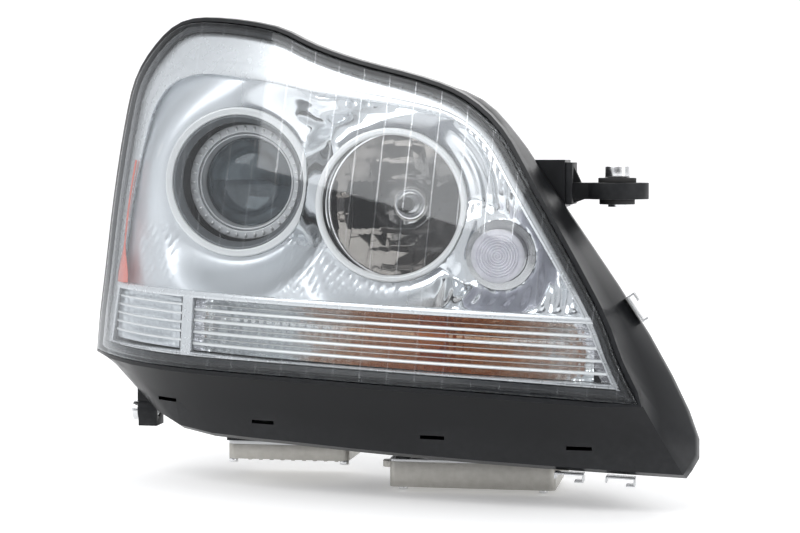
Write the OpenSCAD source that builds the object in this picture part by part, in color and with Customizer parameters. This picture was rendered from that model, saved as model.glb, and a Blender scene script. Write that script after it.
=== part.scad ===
// Car headlight assembly: swept clear lens, bi-xenon swivel projector, faceted high beam,
// parking and turn lamps, aim adjusters, ballast and control unit.
// The shape is drawn about the middle of the lamp face (+X inboard, +Y rearward, +Z up)
// and then moved so that the origin is the centre of the inboard mounting eye.

/* [Lens surface] */
// Inboard end of the lens sweep, X
lens_x_in = 180; // [178:1:182]
// Width over which the lens sweeps rearward
lens_sweep_w = 480; // [478:1:484]
// Rearward sweep at the outer end
lens_sweep = 125; // [123:1:127]
// Extra wrap around the wing at the outer end
lens_wrap = 90; // [88:1:92]
// Y of the foremost lower inboard point
lens_front_y = -45; // [-46:1:-44]
// Rearward lean of the lens for each mm of height
lens_rake = 0.28; // [0.27:0.01:0.29]
// Wall thickness of the clear lens
lens_wall = 3; // [2.5:0.1:3.2]

/* [Light units] */
// Projector optical axis, X and Z
proj_at = [-150, 62]; // [-151:1:151]
// Diameter of the projector's glass lens
proj_glass_d = 73; // [70:1:74]
// High beam reflector axis, X and Z
beam_at = [-10, 44.5]; // [-11:0.5:45]
// Trim ring axis in front of the high beam, X and Z
beam_ring_at = [-14, 45]; // [-15:0.5:46]
// Aperture of the high beam trim ring
beam_open_d = 108; // [106:1:109]
// Parking lamp axis, X and Z
park_at = [73, 8]; // [6:1:74]
// Diameter of the parking lamp's prism lens
park_lens_d = 40.7; // [39:0.1:41]

/* [Mounting] */
// Centre of the inboard mounting eye in lamp axes
eye_at = [158, 60, 59.5]; // [58:0.5:160]
// Bore of the steel sleeve in the mounting eye
eye_bore_d = 8.4; // [8.2:0.1:8.6]
// Length of the steel sleeve in the mounting eye
eye_sleeve_l = 31; // [30:1:31]
// Bore of the upper bracket's sleeve
top_bore_d = 6.6; // [6.4:0.1:6.8]
// Tapping bore of the outer foot's M6 insert
foot_bore_d = 5; // [4.9:0.1:5.1]

/* [Motion] */
// Pivot ball centre of the reflector carrier
ball_at = [26, 148, 90]; // [25:1:149]
// Radius of the pivot balls
ball_r = 6; // [5.8:0.1:6.1]
// Y of the projector's vertical swivel axis
swivel_y = 185; // [184:1:186]
// Height of the levelling rod below the carrier pivot
level_drop = 132; // [131:1:133]

/* [Hidden] */
$fn = 64;

// ---------------------------------------------------------------- surfaces and outlines

// Y of the clear lens's outer face over the point x, z
function sweep_at(x) = max(0, (lens_x_in - x) / lens_sweep_w);
function face_y(x, z) =
  let (s = sweep_at(x), crown = (z - 50) / 145)
  lens_front_y + lens_sweep * s * s + lens_wrap * pow(s, 10)
  + lens_rake * (z + 95) + 8 * crown * crown - 8;

function spline(a, b, c, d, t) =
  0.5 * (2 * b + (c - a) * t + (2 * a - 5 * b + 4 * c - d) * t * t
  + (3 * b - a - 3 * c + d) * t * t * t);

// Smooth run of points through the control points, "steps" points to each stretch
function run(ctrl, steps) =
  let (last = len(ctrl) - 1)
  [for (i = [0:last - 1], k = [0:steps - 1])
    spline(ctrl[max(i - 1, 0)], ctrl[i], ctrl[i + 1], ctrl[min(i + 2, last)], k / steps),
    ctrl[last]];

// Closed outline: the lower run, then the upper run from the sharp corner that they share
function outline(low, up) =
  let (first = run(low, 3)) concat([for (i = [0:len(first) - 2]) first[i]], run(up, 3));

// Lens rim, X and Z: along the bottom edge, then up the inboard side and over the top
rim = outline(
  [[-284, -79], [-200, -82], [-90, -84], [60, -89], [180, -95]],
  [[180, -95], [165, -66], [148, -26], [97, 61], [72, 101], [44, 125], [10, 139],
   [-42, 153], [-80, 166], [-117, 182], [-170, 191], [-205, 190], [-231, 173],
   [-252, 146], [-261, 109], [-269, 50], [-275, -10], [-281, -50]]);

// Front edge of the housing's skirt, X, Y and Z, point for point with the rim
skirt = outline(
  [[-240, 104, -104], [-190, 68, -136], [-85, 28, -142], [60, -2, -148], [214, -8, -154]],
  [[214, -8, -154], [223, 3, -126], [186, 10, -50], [110, 29, 61], [85, 34, 97],
   [56, 42, 126], [13, 54, 142], [-40, 68, 156], [-79, 84, 170], [-115, 100, 185],
   [-171, 130, 195], [-208, 150, 194], [-236, 160, 176], [-257, 167, 147],
   [-266, 168, 109], [-270, 165, 50], [-264, 160, -14], [-256, 144, -58]]);

// Rear outline of the housing, X and Z, point for point with the rim
rear = outline(
  [[-222, -98], [-178, -128], [-85, -137], [50, -140], [155, -130]],
  [[155, -130], [160, -100], [146, -46], [104, 48], [78, 84], [50, 106], [8, 124],
   [-44, 137], [-82, 149], [-115, 159], [-162, 167], [-196, 165], [-222, 150],
   [-238, 126], [-243, 95], [-245, 45], [-241, -14], [-234, -55]]);

// Y of the housing's rear wall, which slopes forward towards the inboard side
rear_slope = 0.22;
function rear_y(x) = 184 - rear_slope * (x + 40);

function flat(p) = [p.x, p[len(p) - 1]];
function normal_of(a, b) = let (t = (b - a) / norm(b - a)) [t.y, -t.x];

// Outline moved outward by d (inward when d is negative), its corners mitred
function grow(loop, d) =
  let (n = len(loop))
  [for (i = [0:n - 1])
    let (p = flat(loop[i]),
      before = normal_of(flat(loop[(i + n - 1) % n]), p),
      after = normal_of(p, flat(loop[(i + 1) % n])),
      bend = 1 + before * after)
    p + d * (before + after) / max(bend, d > 0 ? 1.2 : 0.3)];

// Ring of the outline, "back" behind the lens face
function on_face(loop, back) = [for (p = loop) [p.x, face_y(p.x, p.y) + back, p.y]];

// Ring part way from the rim to the skirt, with the height of the wall there
function toward_skirt(part, d, back) =
  let (inner = grow(rim, d), outer = grow(skirt, d))
  [for (i = [0:len(rim) - 1])
    let (a = inner[i], b = outer[i], ya = face_y(rim[i].x, rim[i].y) + 12, yb = skirt[i].y)
    [a.x + part * (b.x - a.x), ya + part * (yb - ya) + back, a.y + part * (b.y - a.y)]];

// Ring part way from the skirt to the rear outline
function toward_rear(part, d, back) =
  let (outer = grow(skirt, d), inner = grow(rear, d))
  [for (i = [0:len(rim) - 1])
    let (a = outer[i], b = inner[i], ya = skirt[i].y, yb = rear_y(rear[i].x))
    [a.x + part * (b.x - a.x), ya + part * (yb - ya) + back, a.y + part * (b.y - a.y)]];

function shrink_to(centre, loop, part) = [for (p = loop) centre + part * (p - centre)];
function ease(t) = let (u = min(max(t, 0), 1)) u * u * (3 - 2 * u);

// ---------------------------------------------------------------- building blocks

function side_faces(first, second, n) =
  [for (j = [0:n - 1])
    let (k = (j + 1) % n, a = first * n, b = second * n)
    each [[a + j, a + k, b + k], [a + j, b + k, b + j]]];

// Solid skin through rings of equal length, from a front point to a rear point
module skin(front, rings, back) {
  n = len(rings[0]);
  m = len(rings);
  points = concat([for (r = rings) each r], [front, back]);
  caps = [for (j = [0:n - 1])
    let (k = (j + 1) % n)
    each [[n * m, k, j], [(m - 1) * n + j, (m - 1) * n + k, n * m + 1]]];
  walls = [for (i = [0:m - 2]) each side_faces(i, i + 1, n)];
  polyhedron(points, concat(caps, walls), convexity = 8);
}

// Closed hoop whose cross-section corners are the rings
module hoop(rings) {
  n = len(rings[0]);
  m = len(rings);
  polyhedron([for (r = rings) each r],
    [for (i = [0:m - 1]) each side_faces(i, (i + 1) % m, n)], convexity = 8);
}

// Curved plate between two grids of points, columns in X and rows in Z
module sheet(front, back) {
  nx = len(front);
  nz = len(front[0]);
  rear_start = nx * nz;
  points = concat([for (c = front) each c], [for (c = back) each c]);
  cells = [for (i = [0:nx - 2], j = [0:nz - 2])
    let (a = i * nz + j, b = a + 1, c = a + nz, d = c + 1, r = rear_start)
    each [[a, b, d], [a, d, c], [a + r, d + r, b + r], [a + r, c + r, d + r]]];
  ends = [for (j = [0:nz - 2])
    let (a = j, c = (nx - 1) * nz + j, r = rear_start)
    each [[a, a + r, a + 1 + r], [a, a + 1 + r, a + 1],
      [c, c + 1, c + 1 + r], [c, c + 1 + r, c + r]]];
  sides = [for (i = [0:nx - 2])
    let (a = i * nz, b = a + nz, c = a + nz - 1, d = c + nz, r = rear_start)
    each [[a, b, b + r], [a, b + r, a + r], [c, c + r, d + r], [c, d + r, d]]];
  polyhedron(points, concat(cells, ends, sides), convexity = 8);
}

// Cylinder along Y from y0 to y1 over the point at (X, Z)
module rod_y(at, r, y0, y1) {
  translate([at.x, y1, at.y]) rotate([90, 0, 0]) cylinder(r = r, h = y1 - y0);
}

module tube_y(at, r_out, r_in, y0, y1) {
  difference() {
    rod_y(at, r_out, y0, y1);
    rod_y(at, r_in, y0 - 1, y1 + 1);
  }
}

// Outline in X and Z pushed through from y0 to y1
module through_y(outline_xz, y0, y1) {
  translate([0, y1, 0]) rotate([90, 0, 0]) linear_extrude(height = y1 - y0) polygon(outline_xz);
}

// Turned part along Y: profile corners are radius and Y
module turned(at, profile) {
  translate([at.x, 0, at.y]) rotate([-90, 0, 0]) rotate_extrude($fn = 96) polygon(profile);
}

module block(low, high) {
  translate(low) cube(high - low);
}

// Round cable through the points
module cable(points, r) {
  for (i = [0:len(points) - 2]) {
    step = points[i + 1] - points[i];
    flat_run = norm([step.x, step.y]);
    translate(points[i])
      rotate([0, atan2(flat_run, step.z), atan2(step.y, step.x)])
      cylinder(r = r * (1 - 0.02 * (i % 2)), h = norm(step), $fn = 24);
  }
  for (p = points) translate(p) rotate([17, 29, 11]) sphere(r = r * 1.06, $fn = 24);
}

module in_part_frame() {
  translate(-eye_at) children();
}

// ---------------------------------------------------------------- shared places

plan_centre = [-60, 20];      // middle of the lamp in X and Z, inside every outline
wall = 3;                     // moulded wall
fit_gap = 0.05;               // running clearance on a radius
bezel_inset = 7.5;            // bezel edge inside the lens rim
bezel_back = 14;              // bezel front face behind the lens face
panel_back = 22;              // chrome panel behind the lens face
panel_wall = 2.5;
shroud_r = 60;                // projector shroud
shroud_y = 94;
beam_ring_r = 59.5;           // high beam trim ring
beam_ring_y = 36;
park_base_r = 26.5;           // parking lamp base
park_y = 23;
turn_bulb_at = [20, -54];
turn_seat_y = 52;             // back of the turn bulb's collar
carrier_y = 120;              // front of the carrier plate
level_at = [ball_at.x, ball_at.z - level_drop];
lateral_at = [-226, ball_at.z];
xenon_collar_r = 70;
xenon_collar_y = 286;
beam_collar_r = 50;
beam_collar_y = 204;
ballast_low = [-158, 90, -162];
ballast_high = [-58, 175, -150];
unit_low = [-20, 64, -177];
unit_high = [111, 146, -157];
floor_pad_z = -147;           // seating face for the ballast
unit_post_z = -155;           // lower end of the control unit's posts
foot_at = [-236, 112, -127];
top_lug_at = [-150, 205, 181];
plug_at = [90, -70];
breather_at = [[-50, 118], [126, -96]];
shutter_z = 30;               // shutter hinge height
plunger_z = 15;               // solenoid axis height
shutter_y = 170;

// Upper and lower edges of the turn window
function turn_top(x) = -29.5 - 0.033 * (x + 176.5);
function turn_bottom(x) = -71.5 - 0.0356 * (x + 172);
function turn_right(z) = 141 + 0.53 * (-40 - z);

// Inner edge of the bezel, X and Z, point for point with the rim
bezel_open = outline(
  [[-266, -70.5], [-190, -71.5], [-90, -75], [60, -79.5], [160, -83]],
  [[160, -83], [150, -60], [133, -25], [84, 54], [60, 92], [35, 111], [5, 119],
   [-46, 127], [-82, 133], [-118, 141], [-168, 149], [-196, 149], [-218, 140],
   [-233, 120], [-240, 95], [-250, 48], [-256, -5], [-262, -42]]);

// Height of the bezel bar's upper edge
function bar_top(x) = turn_top(x) + 5.5;

// Depth of the chrome panel, drawn in towards the edge of each lamp
function close_to(x, z, at, r, reach) = 1 - ease((norm([x, z] - at) - r) / reach);
function panel_y(x, z) =
  let (base = face_y(x, z) + panel_back,
    a = close_to(x, z, proj_at, shroud_r + 2, 36),
    b = close_to(x, z, beam_ring_at, beam_ring_r + 2, 34),
    c = close_to(x, z, park_at, park_base_r + 1, 22))
  max(face_y(x, z) + bezel_back + 5,
    base + (a * (shroud_y + 4 - base) + b * (beam_ring_y + 4 - base) + c * (park_y - base))
    / max(1, a + b + c));

// ---------------------------------------------------------------- housing

module housing_shell() {
  rings = [
    [for (p = grow(rear, -12)) [p.x, rear_y(p.x) - wall, p.y]],
    [for (p = grow(rear, -4)) [p.x, rear_y(p.x) - 12, p.y]],
    toward_rear(0.5, -3.5, 0),
    toward_rear(0, -4.5, 14),
    toward_skirt(0.93, -3.5, 7),
    toward_skirt(0.45, -3.5, 5),
    on_face(grow(rim, -7), 21),
    on_face(grow(rim, -7), 10.5),
    on_face(grow(rim, -3.8), 9),
    on_face(grow(rim, -3.8), 16),
    on_face(grow(rim, 1.2), 16),
    on_face(grow(rim, 1.2), 3),
    on_face(grow(rim, 4.2), 3),
    on_face(grow(rim, 5.2), 10),
    toward_skirt(0.45, 1, 0),
    toward_skirt(0.93, 0.5, 0),
    toward_rear(0, 0, 7),
    toward_rear(0, -2, 18),
    toward_rear(0.5, 0, 0),
    [for (p = grow(rear, 0)) [p.x, rear_y(p.x) - 12, p.y]],
    [for (p = grow(rear, -9)) [p.x, rear_y(p.x), p.y]]
  ];
  c = plan_centre;
  skin([c.x, rear_y(c.x) - wall, c.y], rings, [c.x, rear_y(c.x), c.y]);
}

// Room behind the middle of the sloping rear wall
module behind_wall() {
  x_out = -290;
  x_in = 200;
  translate([0, 0, -150]) linear_extrude(height = 340) polygon([
    [x_out, rear_y(x_out) - 1.5], [x_in, rear_y(x_in) - 1.5], [x_in, 330], [x_out, 330]]);
}

module housing_bosses() {
  intersection() {
    behind_wall();
    union() {
      rod_y(proj_at, xenon_collar_r, 180, xenon_collar_y);
      rod_y(beam_at, beam_collar_r, 150, beam_collar_y);
      rod_y(level_at, 19, 150, 176);
      rod_y(lateral_at, 9, 210, 232);
    }
  }
  rod_y([ball_at.x, ball_at.z], 8, 160, 168);
  for (p = breather_at) rod_y(p, 5, rear_y(p.x) - 1.5, rear_y(p.x) + 12);
  block([plug_at.x - 28, 149, plug_at.y - 16], [plug_at.x + 28, 164, plug_at.y + 16]);
  block([-158, 88, floor_pad_z], [-58, 177, -132]);
  for (x = [-10, 101], y = [72, 138])
    translate([x, y, unit_post_z]) cylinder(r = 6, h = 23);
  block([97, 40, 44], [119.8, 88, 80]);
  block([-237.5, 102, -118.3], [-206, 126, -104]);
  block([-162, 172, 172], [-138, 206, 188]);
  translate([top_lug_at.x, top_lug_at.y, 172]) cylinder(r = 14, h = 16);
  for (x = [-190, -116]) {
    block([x, 262, 112], [x + 6, 275, 147]);
    block([x, 262, 134], [x + 6, 289, 147]);
  }
  block([-158, 262, -24], [-142, 275, -4]);
  block([-158, 262, -24], [-142, 298, -20]);
  block([-158, 295.5, -24], [-142, 298, -16.2]);
}

// Flat seat for the levelling motor on the inside of the rear wall
module motor_seat() {
  half = 22;
  translate([level_at.x, rear_y(level_at.x) - wall, level_at.y]) rotate([0, 0, -atan(rear_slope)])
    block([-half, -6, -half], [half, 0.2, half]);
}

module housing_openings() {
  motor_seat();
  rod_y(proj_at, xenon_collar_r - 4, 190, xenon_collar_y + 1);
  rod_y(beam_at, beam_collar_r - 4, 160, beam_collar_y + 1);
  rod_y(level_at, 15, 155, 180);
  rod_y(lateral_at, 4 + fit_gap, 205, 235);
  rod_y([ball_at.x, ball_at.z], 3.5 + fit_gap, 158, 175);
  for (p = breather_at) rod_y(p, 3, rear_y(p.x) - 8, rear_y(p.x) + 13);
  block([plug_at.x - 20, 140, plug_at.y - 9], [plug_at.x + 20, 170, plug_at.y + 9]);
  block([-149, 98, floor_pad_z - 1], [-67, 167, -130]);
  for (x = [-154, -62], y = [94, 171])
    translate([x, y, floor_pad_z - 1]) cylinder(r = 2 + fit_gap, h = 7);
  for (x = [-10, 101], y = [72, 138])
    translate([x, y, unit_post_z - 1]) cylinder(r = 2 + fit_gap, h = 9);
  translate([top_lug_at.x, top_lug_at.y, 170]) cylinder(r = 5 + fit_gap, h = 24);
  translate([-200, 283, 139]) rotate([0, 90, 0]) cylinder(r = 1.5 + fit_gap, h = 100);
  for (slot = [[-202, 64, -112], [-114, 34, -124], [25, 4, -128], [136, -12, -132]])
    block([slot.x - 9.5, slot.y - 30, slot.z - 1.5], [slot.x + 9.5, slot.y + 22, slot.z + 1.5]);
}

module housing() {
  color("#17181a") difference() {
    union() {
      housing_shell();
      housing_bosses();
    }
    housing_openings();
  }
}

// ---------------------------------------------------------------- front optics

lens_parts = [0.2, 0.4, 0.58, 0.74, 0.86, 0.94, 1];

// Thickness of the lens measured along Y, constant across the curved wall
function lens_back(x) =
  let (s = sweep_at(x), slope = (2 * lens_sweep * s + 10 * lens_wrap * pow(s, 9)) / lens_sweep_w)
  lens_wall * sqrt(1 + slope * slope);

module outer_lens() {
  inner_rim = grow(rim, -2.5);
  c = plan_centre;
  rings = [
    for (part = lens_parts) on_face(shrink_to(c, rim, part), 0),
    on_face(rim, 13),
    on_face(inner_rim, 13),
    for (i = [len(lens_parts) - 1:-1:0])
      [for (p = shrink_to(c, inner_rim, lens_parts[i]))
        [p.x, face_y(p.x, p.y) + lens_back(p.x), p.y]]
  ];
  color([0.85, 0.9, 0.95, 0.35])
    skin([c.x, face_y(c.x, c.y), c.y], rings, [c.x, face_y(c.x, c.y) + lens_back(c.x), c.y]);
}

module lens_seal() {
  color("#2a2a2a") hoop([
    on_face(grow(rim, -3), 13.4), on_face(grow(rim, -1.2), 13.4),
    on_face(grow(rim, -1.2), 14.3), on_face(grow(rim, -3), 14.3)]);
}

// Bent spring clip lying on the skirt's edge, its outer side turned away by "turn"
module edge_clip(at, turn) {
  translate(at) rotate([0, turn, 0]) {
    block([-11, -6, 0.3], [11, 6, 1.6]);
    block([-11, -6, 1.2], [-9.6, 6, 7]);
    block([9.6, -6, 1.2], [11, 6, 5]);
    block([-11, -6, 5.8], [-4, 6, 7]);
  }
}

module lens_clips() {
  color("#b9bcc0") {
    edge_clip([174.6, 12, -31], 55.6);
    edge_clip([128, 0, -151.6], 182);
    edge_clip([166, 0, -153.6], 182);
  }
}

module bezel_band() {
  edge = grow(rim, -bezel_inset);
  inner_edge = grow(rim, -bezel_inset - 2);
  hoop([
    on_face(bezel_open, bezel_back),
    on_face(edge, bezel_back),
    on_face(edge, bezel_back + 6),
    on_face(inner_edge, bezel_back + 6),
    on_face(inner_edge, bezel_back + wall),
    on_face(bezel_open, bezel_back + wall)]);
}

// Strip of the bezel between x_from and x_to, from the height low(x) to high(x)
module bezel_strip(x_from, x_to, columns, low, high) {
  xs = [for (i = [0:columns]) x_from + (x_to - x_from) * i / columns];
  function corner(x, z, back) = [x, face_y(x, z) + back, z];
  sheet([for (x = xs) [corner(x, low(x), bezel_back + 0.3), corner(x, high(x), bezel_back + 0.3)]],
    [for (x = xs) [corner(x, low(x), bezel_back + 2.6), corner(x, high(x), bezel_back + 2.6)]]);
}

module bezel_frame() {
  color("#b4b8bc") union() {
    bezel_band();
    bezel_strip(-260.5, 141.5, 24, function(x) turn_top(x), function(x) bar_top(x));
    bezel_strip(-187, -176.5, 2, function(x) turn_bottom(x) - 1.2, function(x) turn_top(x) + 2);
  }
}

module chrome_panel() {
  columns = [for (x = [-264:13:141]) x];
  rows = [for (z = [-44:13:160]) z];
  front = [for (x = columns) [for (z = rows) [x, panel_y(x, z), z]]];
  back = [for (x = columns) [for (z = rows) [x, panel_y(x, z) + panel_wall, z]]];
  lowest = bar_top(-270) - 4;
  lowest_in = bar_top(150) - 4;
  color("#c9ced2") difference() {
    intersection() {
      sheet(front, back);
      through_y(grow(bezel_open, 2), -60, 260);
      through_y([[-270, lowest], [150, lowest_in], [150, 170], [-270, 170]], -61, 261);
    }
    rod_y(proj_at, shroud_r + 0.5, -60, 260);
    rod_y(beam_ring_at, beam_ring_r + 0.5, -60, 260);
    rod_y(park_at, park_base_r + 0.5, -60, 260);
  }
}

module projector_shroud() {
  color("#c4c8cb") union() {
    turned(proj_at, [
      [53.5, shroud_y], [shroud_r, shroud_y], [shroud_r, 106], [57.5, 106], [57.5, 98],
      [54.5, 98], [50, 104], [48.5, 104], [48.5, 101]]);
    for (a = [60, 300])
      translate([proj_at.x, 0, proj_at.y]) rotate([0, a, 0])
        block([58, 104.2, -5], [67, 106, 5]);
  }
}

module high_beam_ring() {
  color("#d2d5d8") turned(beam_ring_at, [
    [beam_open_d / 2, 37.5], [55.5, beam_ring_y], [58.5, beam_ring_y], [beam_ring_r, 37.5],
    [beam_ring_r, 50], [57.5, 50], [57.5, 40], [beam_open_d / 2, 40]]);
}

module side_reflex_strip() {
  levels = [for (z = [-18:12:78]) z];
  function middle(z) = -254.5 + 0.0011 * z * z;
  function half(z) = 1.3 + 6 * ease((14 - z) / 32);
  sides = [-1, 1];
  front = [for (s = sides) [for (z = levels)
    let (x = middle(z) + s * half(z)) [x, face_y(x, z) + 9.5, z]]];
  back = [for (s = sides) [for (z = levels)
    let (x = middle(z) + s * half(z)) [x, face_y(x, z) + 11.5, z]]];
  color("#d8452a") sheet(front, back);
}

// Mirrored trough between two heights, closed at both ends
module trough(x_from, x_to, columns, depth) {
  rows = 7;
  function z_at(x, v) = turn_bottom(x) + 0.8 + v * (turn_top(x) - turn_bottom(x) - 1.6);
  function y_at(x, v) =
    let (bowl = 1 - pow(2 * v - 1, 2), ends = ease((x - x_from) / 30) * ease((x_to - x) / 30))
    face_y(x, z_at(x, v)) + 23 + depth * bowl * ends;
  xs = [for (i = [0:columns]) x_from + (x_to - x_from) * i / columns];
  vs = [for (j = [0:rows]) j / rows];
  front = [for (x = xs) [for (v = vs) [x, y_at(x, v), z_at(x, v)]]];
  back = [for (x = xs) [for (v = vs) [x, y_at(x, v) + 2, z_at(x, v)]]];
  sheet(front, back);
}

module turn_reflector() {
  color("#d59a5a") difference() {
    union() {
      trough(-176, 147, 22, 40);
      rod_y(turn_bulb_at, 17, 34, turn_seat_y);
    }
    rod_y(turn_bulb_at, 14, -20, turn_seat_y + 1);
  }
}

module side_lamp_reflector() {
  color("#cfd3d6") trough(-262, -190, 8, 10);
}

module louvre_bar(drop, x_from, x_to) {
  xs = [for (i = [0:10]) x_from + (x_to - x_from) * i / 10];
  zs = [-1.1, 1.1];
  function z_at(x, dz) = turn_top(x) - drop + dz;
  front = [for (x = xs) [for (dz = zs) [x, face_y(x, z_at(x, dz)) + 17.8, z_at(x, dz)]]];
  back = [for (x = xs) [for (dz = zs) [x, face_y(x, z_at(x, dz)) + 22.2, z_at(x, dz)]]];
  sheet(front, back);
}

module louvre_post(x_low, x_high) {
  ends = [0, 1];
  steps = [for (k = [0:4]) k / 4];
  function x_at(s, t) = x_low + t * (x_high - x_low) + 3 * s;
  function z_at(x, t) = turn_bottom(x) + 0.5 + t * (turn_top(x) - turn_bottom(x) - 1);
  function corner(s, t, back) =
    let (x = x_at(s, t), z = z_at(x, t)) [x, face_y(x, z) + back, z];
  sheet([for (s = ends) [for (t = steps) corner(s, t, 17.5)]],
    [for (s = ends) [for (t = steps) corner(s, t, 22.5)]]);
}

module turn_louvre() {
  color("#dfe3e6") union() {
    for (drop = [9, 17.5, 26.5, 35.5])
      louvre_bar(drop, -178.5, turn_right(turn_top(140) - drop) - 2);
    louvre_post(-180, -180);
    louvre_post(turn_right(-83) - 4.5, turn_right(-41) - 4.5);
  }
}

module turn_bulb() {
  at = [turn_bulb_at.x, 0, turn_bulb_at.y];
  color("#e98a2a") union() {
    translate(at + [0, 27, 0]) sphere(r = 12);
    rod_y(turn_bulb_at, 7.5, 30, 56);
  }
}

module turn_bulb_holder() {
  color("#3a3a3c") difference() {
    union() {
      rod_y(turn_bulb_at, 14 - fit_gap, 44, turn_seat_y + 1);
      rod_y(turn_bulb_at, 20, turn_seat_y + 0.3, 58);
      rod_y(turn_bulb_at, 12, 58, 84);
      block([turn_bulb_at.x - 17, 58, turn_bulb_at.y - 3], [turn_bulb_at.x + 17, 76, turn_bulb_at.y + 3]);
    }
    rod_y(turn_bulb_at, 7.5 + fit_gap, 40, 56.5);
  }
}

module parking_lens() {
  r = park_lens_d / 2;
  grooves = [for (k = [8:-1:1]) each [[k * 2.2, 6.2], [k * 2.2 - 1.1, 5]]];
  color([0.9, 0.88, 0.95, 0.5]) turned(park_at, concat(
    [[0, 5.6], [0, 8], [r - 2, 8], [r - 1.8, 26], [r, 26], [r, 6.2], [r - 1, 5]], grooves));
}

module parking_reflector() {
  inner = [for (k = [0:6]) let (t = k * 13) [20.8 * cos(t), 26 + 24 * sin(t)]];
  outer = [for (k = [6:-1:0]) let (t = k * 13) [20.8 * cos(t) + 1.8, 26 + 26 * sin(t) + 0.5]];
  color("#d6d9dc") difference() {
    turned(park_at, concat([[20.8, park_y]], inner, outer,
      [[22.6, 26.5], [park_base_r, 26.5], [park_base_r, park_y]]));
    rod_y(park_at, 5.4, 40, 60);
  }
}

module parking_bulb() {
  at = [park_at.x, 0, park_at.y];
  color("#e8eef2") union() {
    translate(at + [0, 38, 0]) sphere(r = 4.6);
    rod_y(park_at, 4.6, 38, 56);
  }
}

module parking_bulb_holder() {
  color("#3a3a3c") difference() {
    union() {
      rod_y(park_at, 5.4 - fit_gap, 49.5, 54);
      rod_y(park_at, 9, 53.4, 57);
      rod_y(park_at, 6.5, 57, 70);
      block([park_at.x - 9, 57, park_at.y - 1.5], [park_at.x + 9, 67, park_at.y + 1.5]);
    }
    rod_y(park_at, 4.6 + fit_gap, 45, 56.5);
  }
}

// ---------------------------------------------------------------- swivelling projector

module projector_glass() {
  r = proj_glass_d / 2;
  dome = 64.5;
  arc = [for (k = [0:8]) let (q = k * (r - 2) / 8) [q, 124 + dome - sqrt(dome * dome - q * q)]];
  color([0.75, 0.82, 0.88, 0.6]) turned(proj_at, concat(arc,
    [[r, 134], [r, 138], [r - 2, 138], [r - 2, 146], [0, 146]]));
}

module lens_ring() {
  color("#d8dadc") union() {
    turned(proj_at, [[40.5, 121], [47.2, 121], [47.2, 126], [41.7, 132], [39.8, 133.7],
      [35.9, 133.7], [35.9, 131.6], [40.5, 128.5]]);
    for (a = [0:10:350])
      rod_y(proj_at + 43.9 * [cos(a), sin(a)], 1.7, 119.8, 122, $fn = 20);
  }
}

module lens_holder() {
  r = proj_glass_d / 2;
  color("#8f9296") difference() {
    turned(proj_at, [[r + 0.2, 134], [r + 3.2, 134], [r + 3.2, 156], [40.2, 156], [40.2, 160],
      [33, 160], [33, 156], [r - 1, 152], [r - 1, 138.3], [r + 0.2, 138.3]]);
    for (a = [45:90:315])
      translate([proj_at.x, 148, proj_at.y]) rotate([0, a, 0]) block([-9, -5, 30], [9, 2.4, 42]);
  }
}

module projector_frame() {
  color("#77797d") difference() {
    union() {
      rod_y(proj_at, 54, 160.2, 166);
      for (side = [0, 1])
        translate([proj_at.x, 0, proj_at.y]) mirror([0, 0, side])
          block([-10, 160.2, 50], [10, 193, 59]);
      for (x = [-27, 23]) block([proj_at.x + x, 165, 26], [proj_at.x + x + 4, 173, 34]);
    }
    rod_y(proj_at, 30, 150, 170);
    translate([proj_at.x, swivel_y, -10]) cylinder(r = 4 + fit_gap, h = 140);
    block([proj_at.x - 6, 150, 8.5], [proj_at.x + 6, 167, 25]);
    translate([proj_at.x - 60, shutter_y, shutter_z]) rotate([0, 90, 0])
      cylinder(r = 1.2 + fit_gap, h = 120);
    rod_y(proj_at, 52.6, 166.1, 200);
  }
}

module projector_reflector() {
  inner = [for (k = [0:7]) let (t = k * 10.6) [47.5 * cos(t), 169 + 63 * sin(t)]];
  outer = [for (k = [7:-1:0]) let (t = k * 10.6) [47.5 * cos(t) + 2.2, 169.6 + 64 * sin(t)]];
  color("#c9ccd0") difference() {
    turned(proj_at, concat([[47.5, 166.3]], inner, [[12.6, 238], [20, 238], [20, 231]], outer,
      [[52, 169.3], [52, 166.3]]));
    block([proj_at.x - 8, 160, 0], [proj_at.x + 8, 182, 27]);
    block([proj_at.x - 30, 160, 20], [proj_at.x - 21, 176, 36]);
    block([proj_at.x + 21, 160, 20], [proj_at.x + 30, 176, 36]);
  }
}

module xenon_bulb() {
  color("#e6e0cf") union() {
    rod_y(proj_at, 4.5, 200, 236);
    translate([proj_at.x, 212, proj_at.y]) sphere(r = 5.6);
    rod_y(proj_at, 9, 230, 239);
    rod_y(proj_at, 17, 238.3, 241);
  }
}

module igniter() {
  c = proj_at;
  color("#9da1a5") union() {
    block([c.x - 26, 241.4, c.y - 24], [c.x + 26, 266, c.y + 24]);
    block([c.x - 10, 250, c.y - 36], [c.x + 10, 262, c.y - 22]);
    rod_y(c, 15, 265, 270);
  }
}

module cutoff_shutter() {
  x = proj_at.x;
  color("#55585c") difference() {
    union() {
      through_y([[x - 26, 33], [x + 26, 33], [x + 26, 60], [x + 4, 60], [x, 62.5], [x - 26, 62.5]],
        shutter_y - 0.8, shutter_y + 0.8);
      block([x - 20, shutter_y - 0.8, 26], [x + 20, shutter_y + 0.8, 34]);
      translate([x - 29, shutter_y, shutter_z]) rotate([0, 90, 0]) cylinder(r = 1.2, h = 58);
      translate([x - 21, shutter_y, shutter_z]) rotate([0, 90, 0]) cylinder(r = 2.2, h = 42);
      block([x - 4, shutter_y - 0.8, 9.9], [x + 4, shutter_y + 0.8, 28]);
    }
    block([x - 2, shutter_y - 3, 11], [x + 2, shutter_y + 3, 19]);
  }
}

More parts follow.
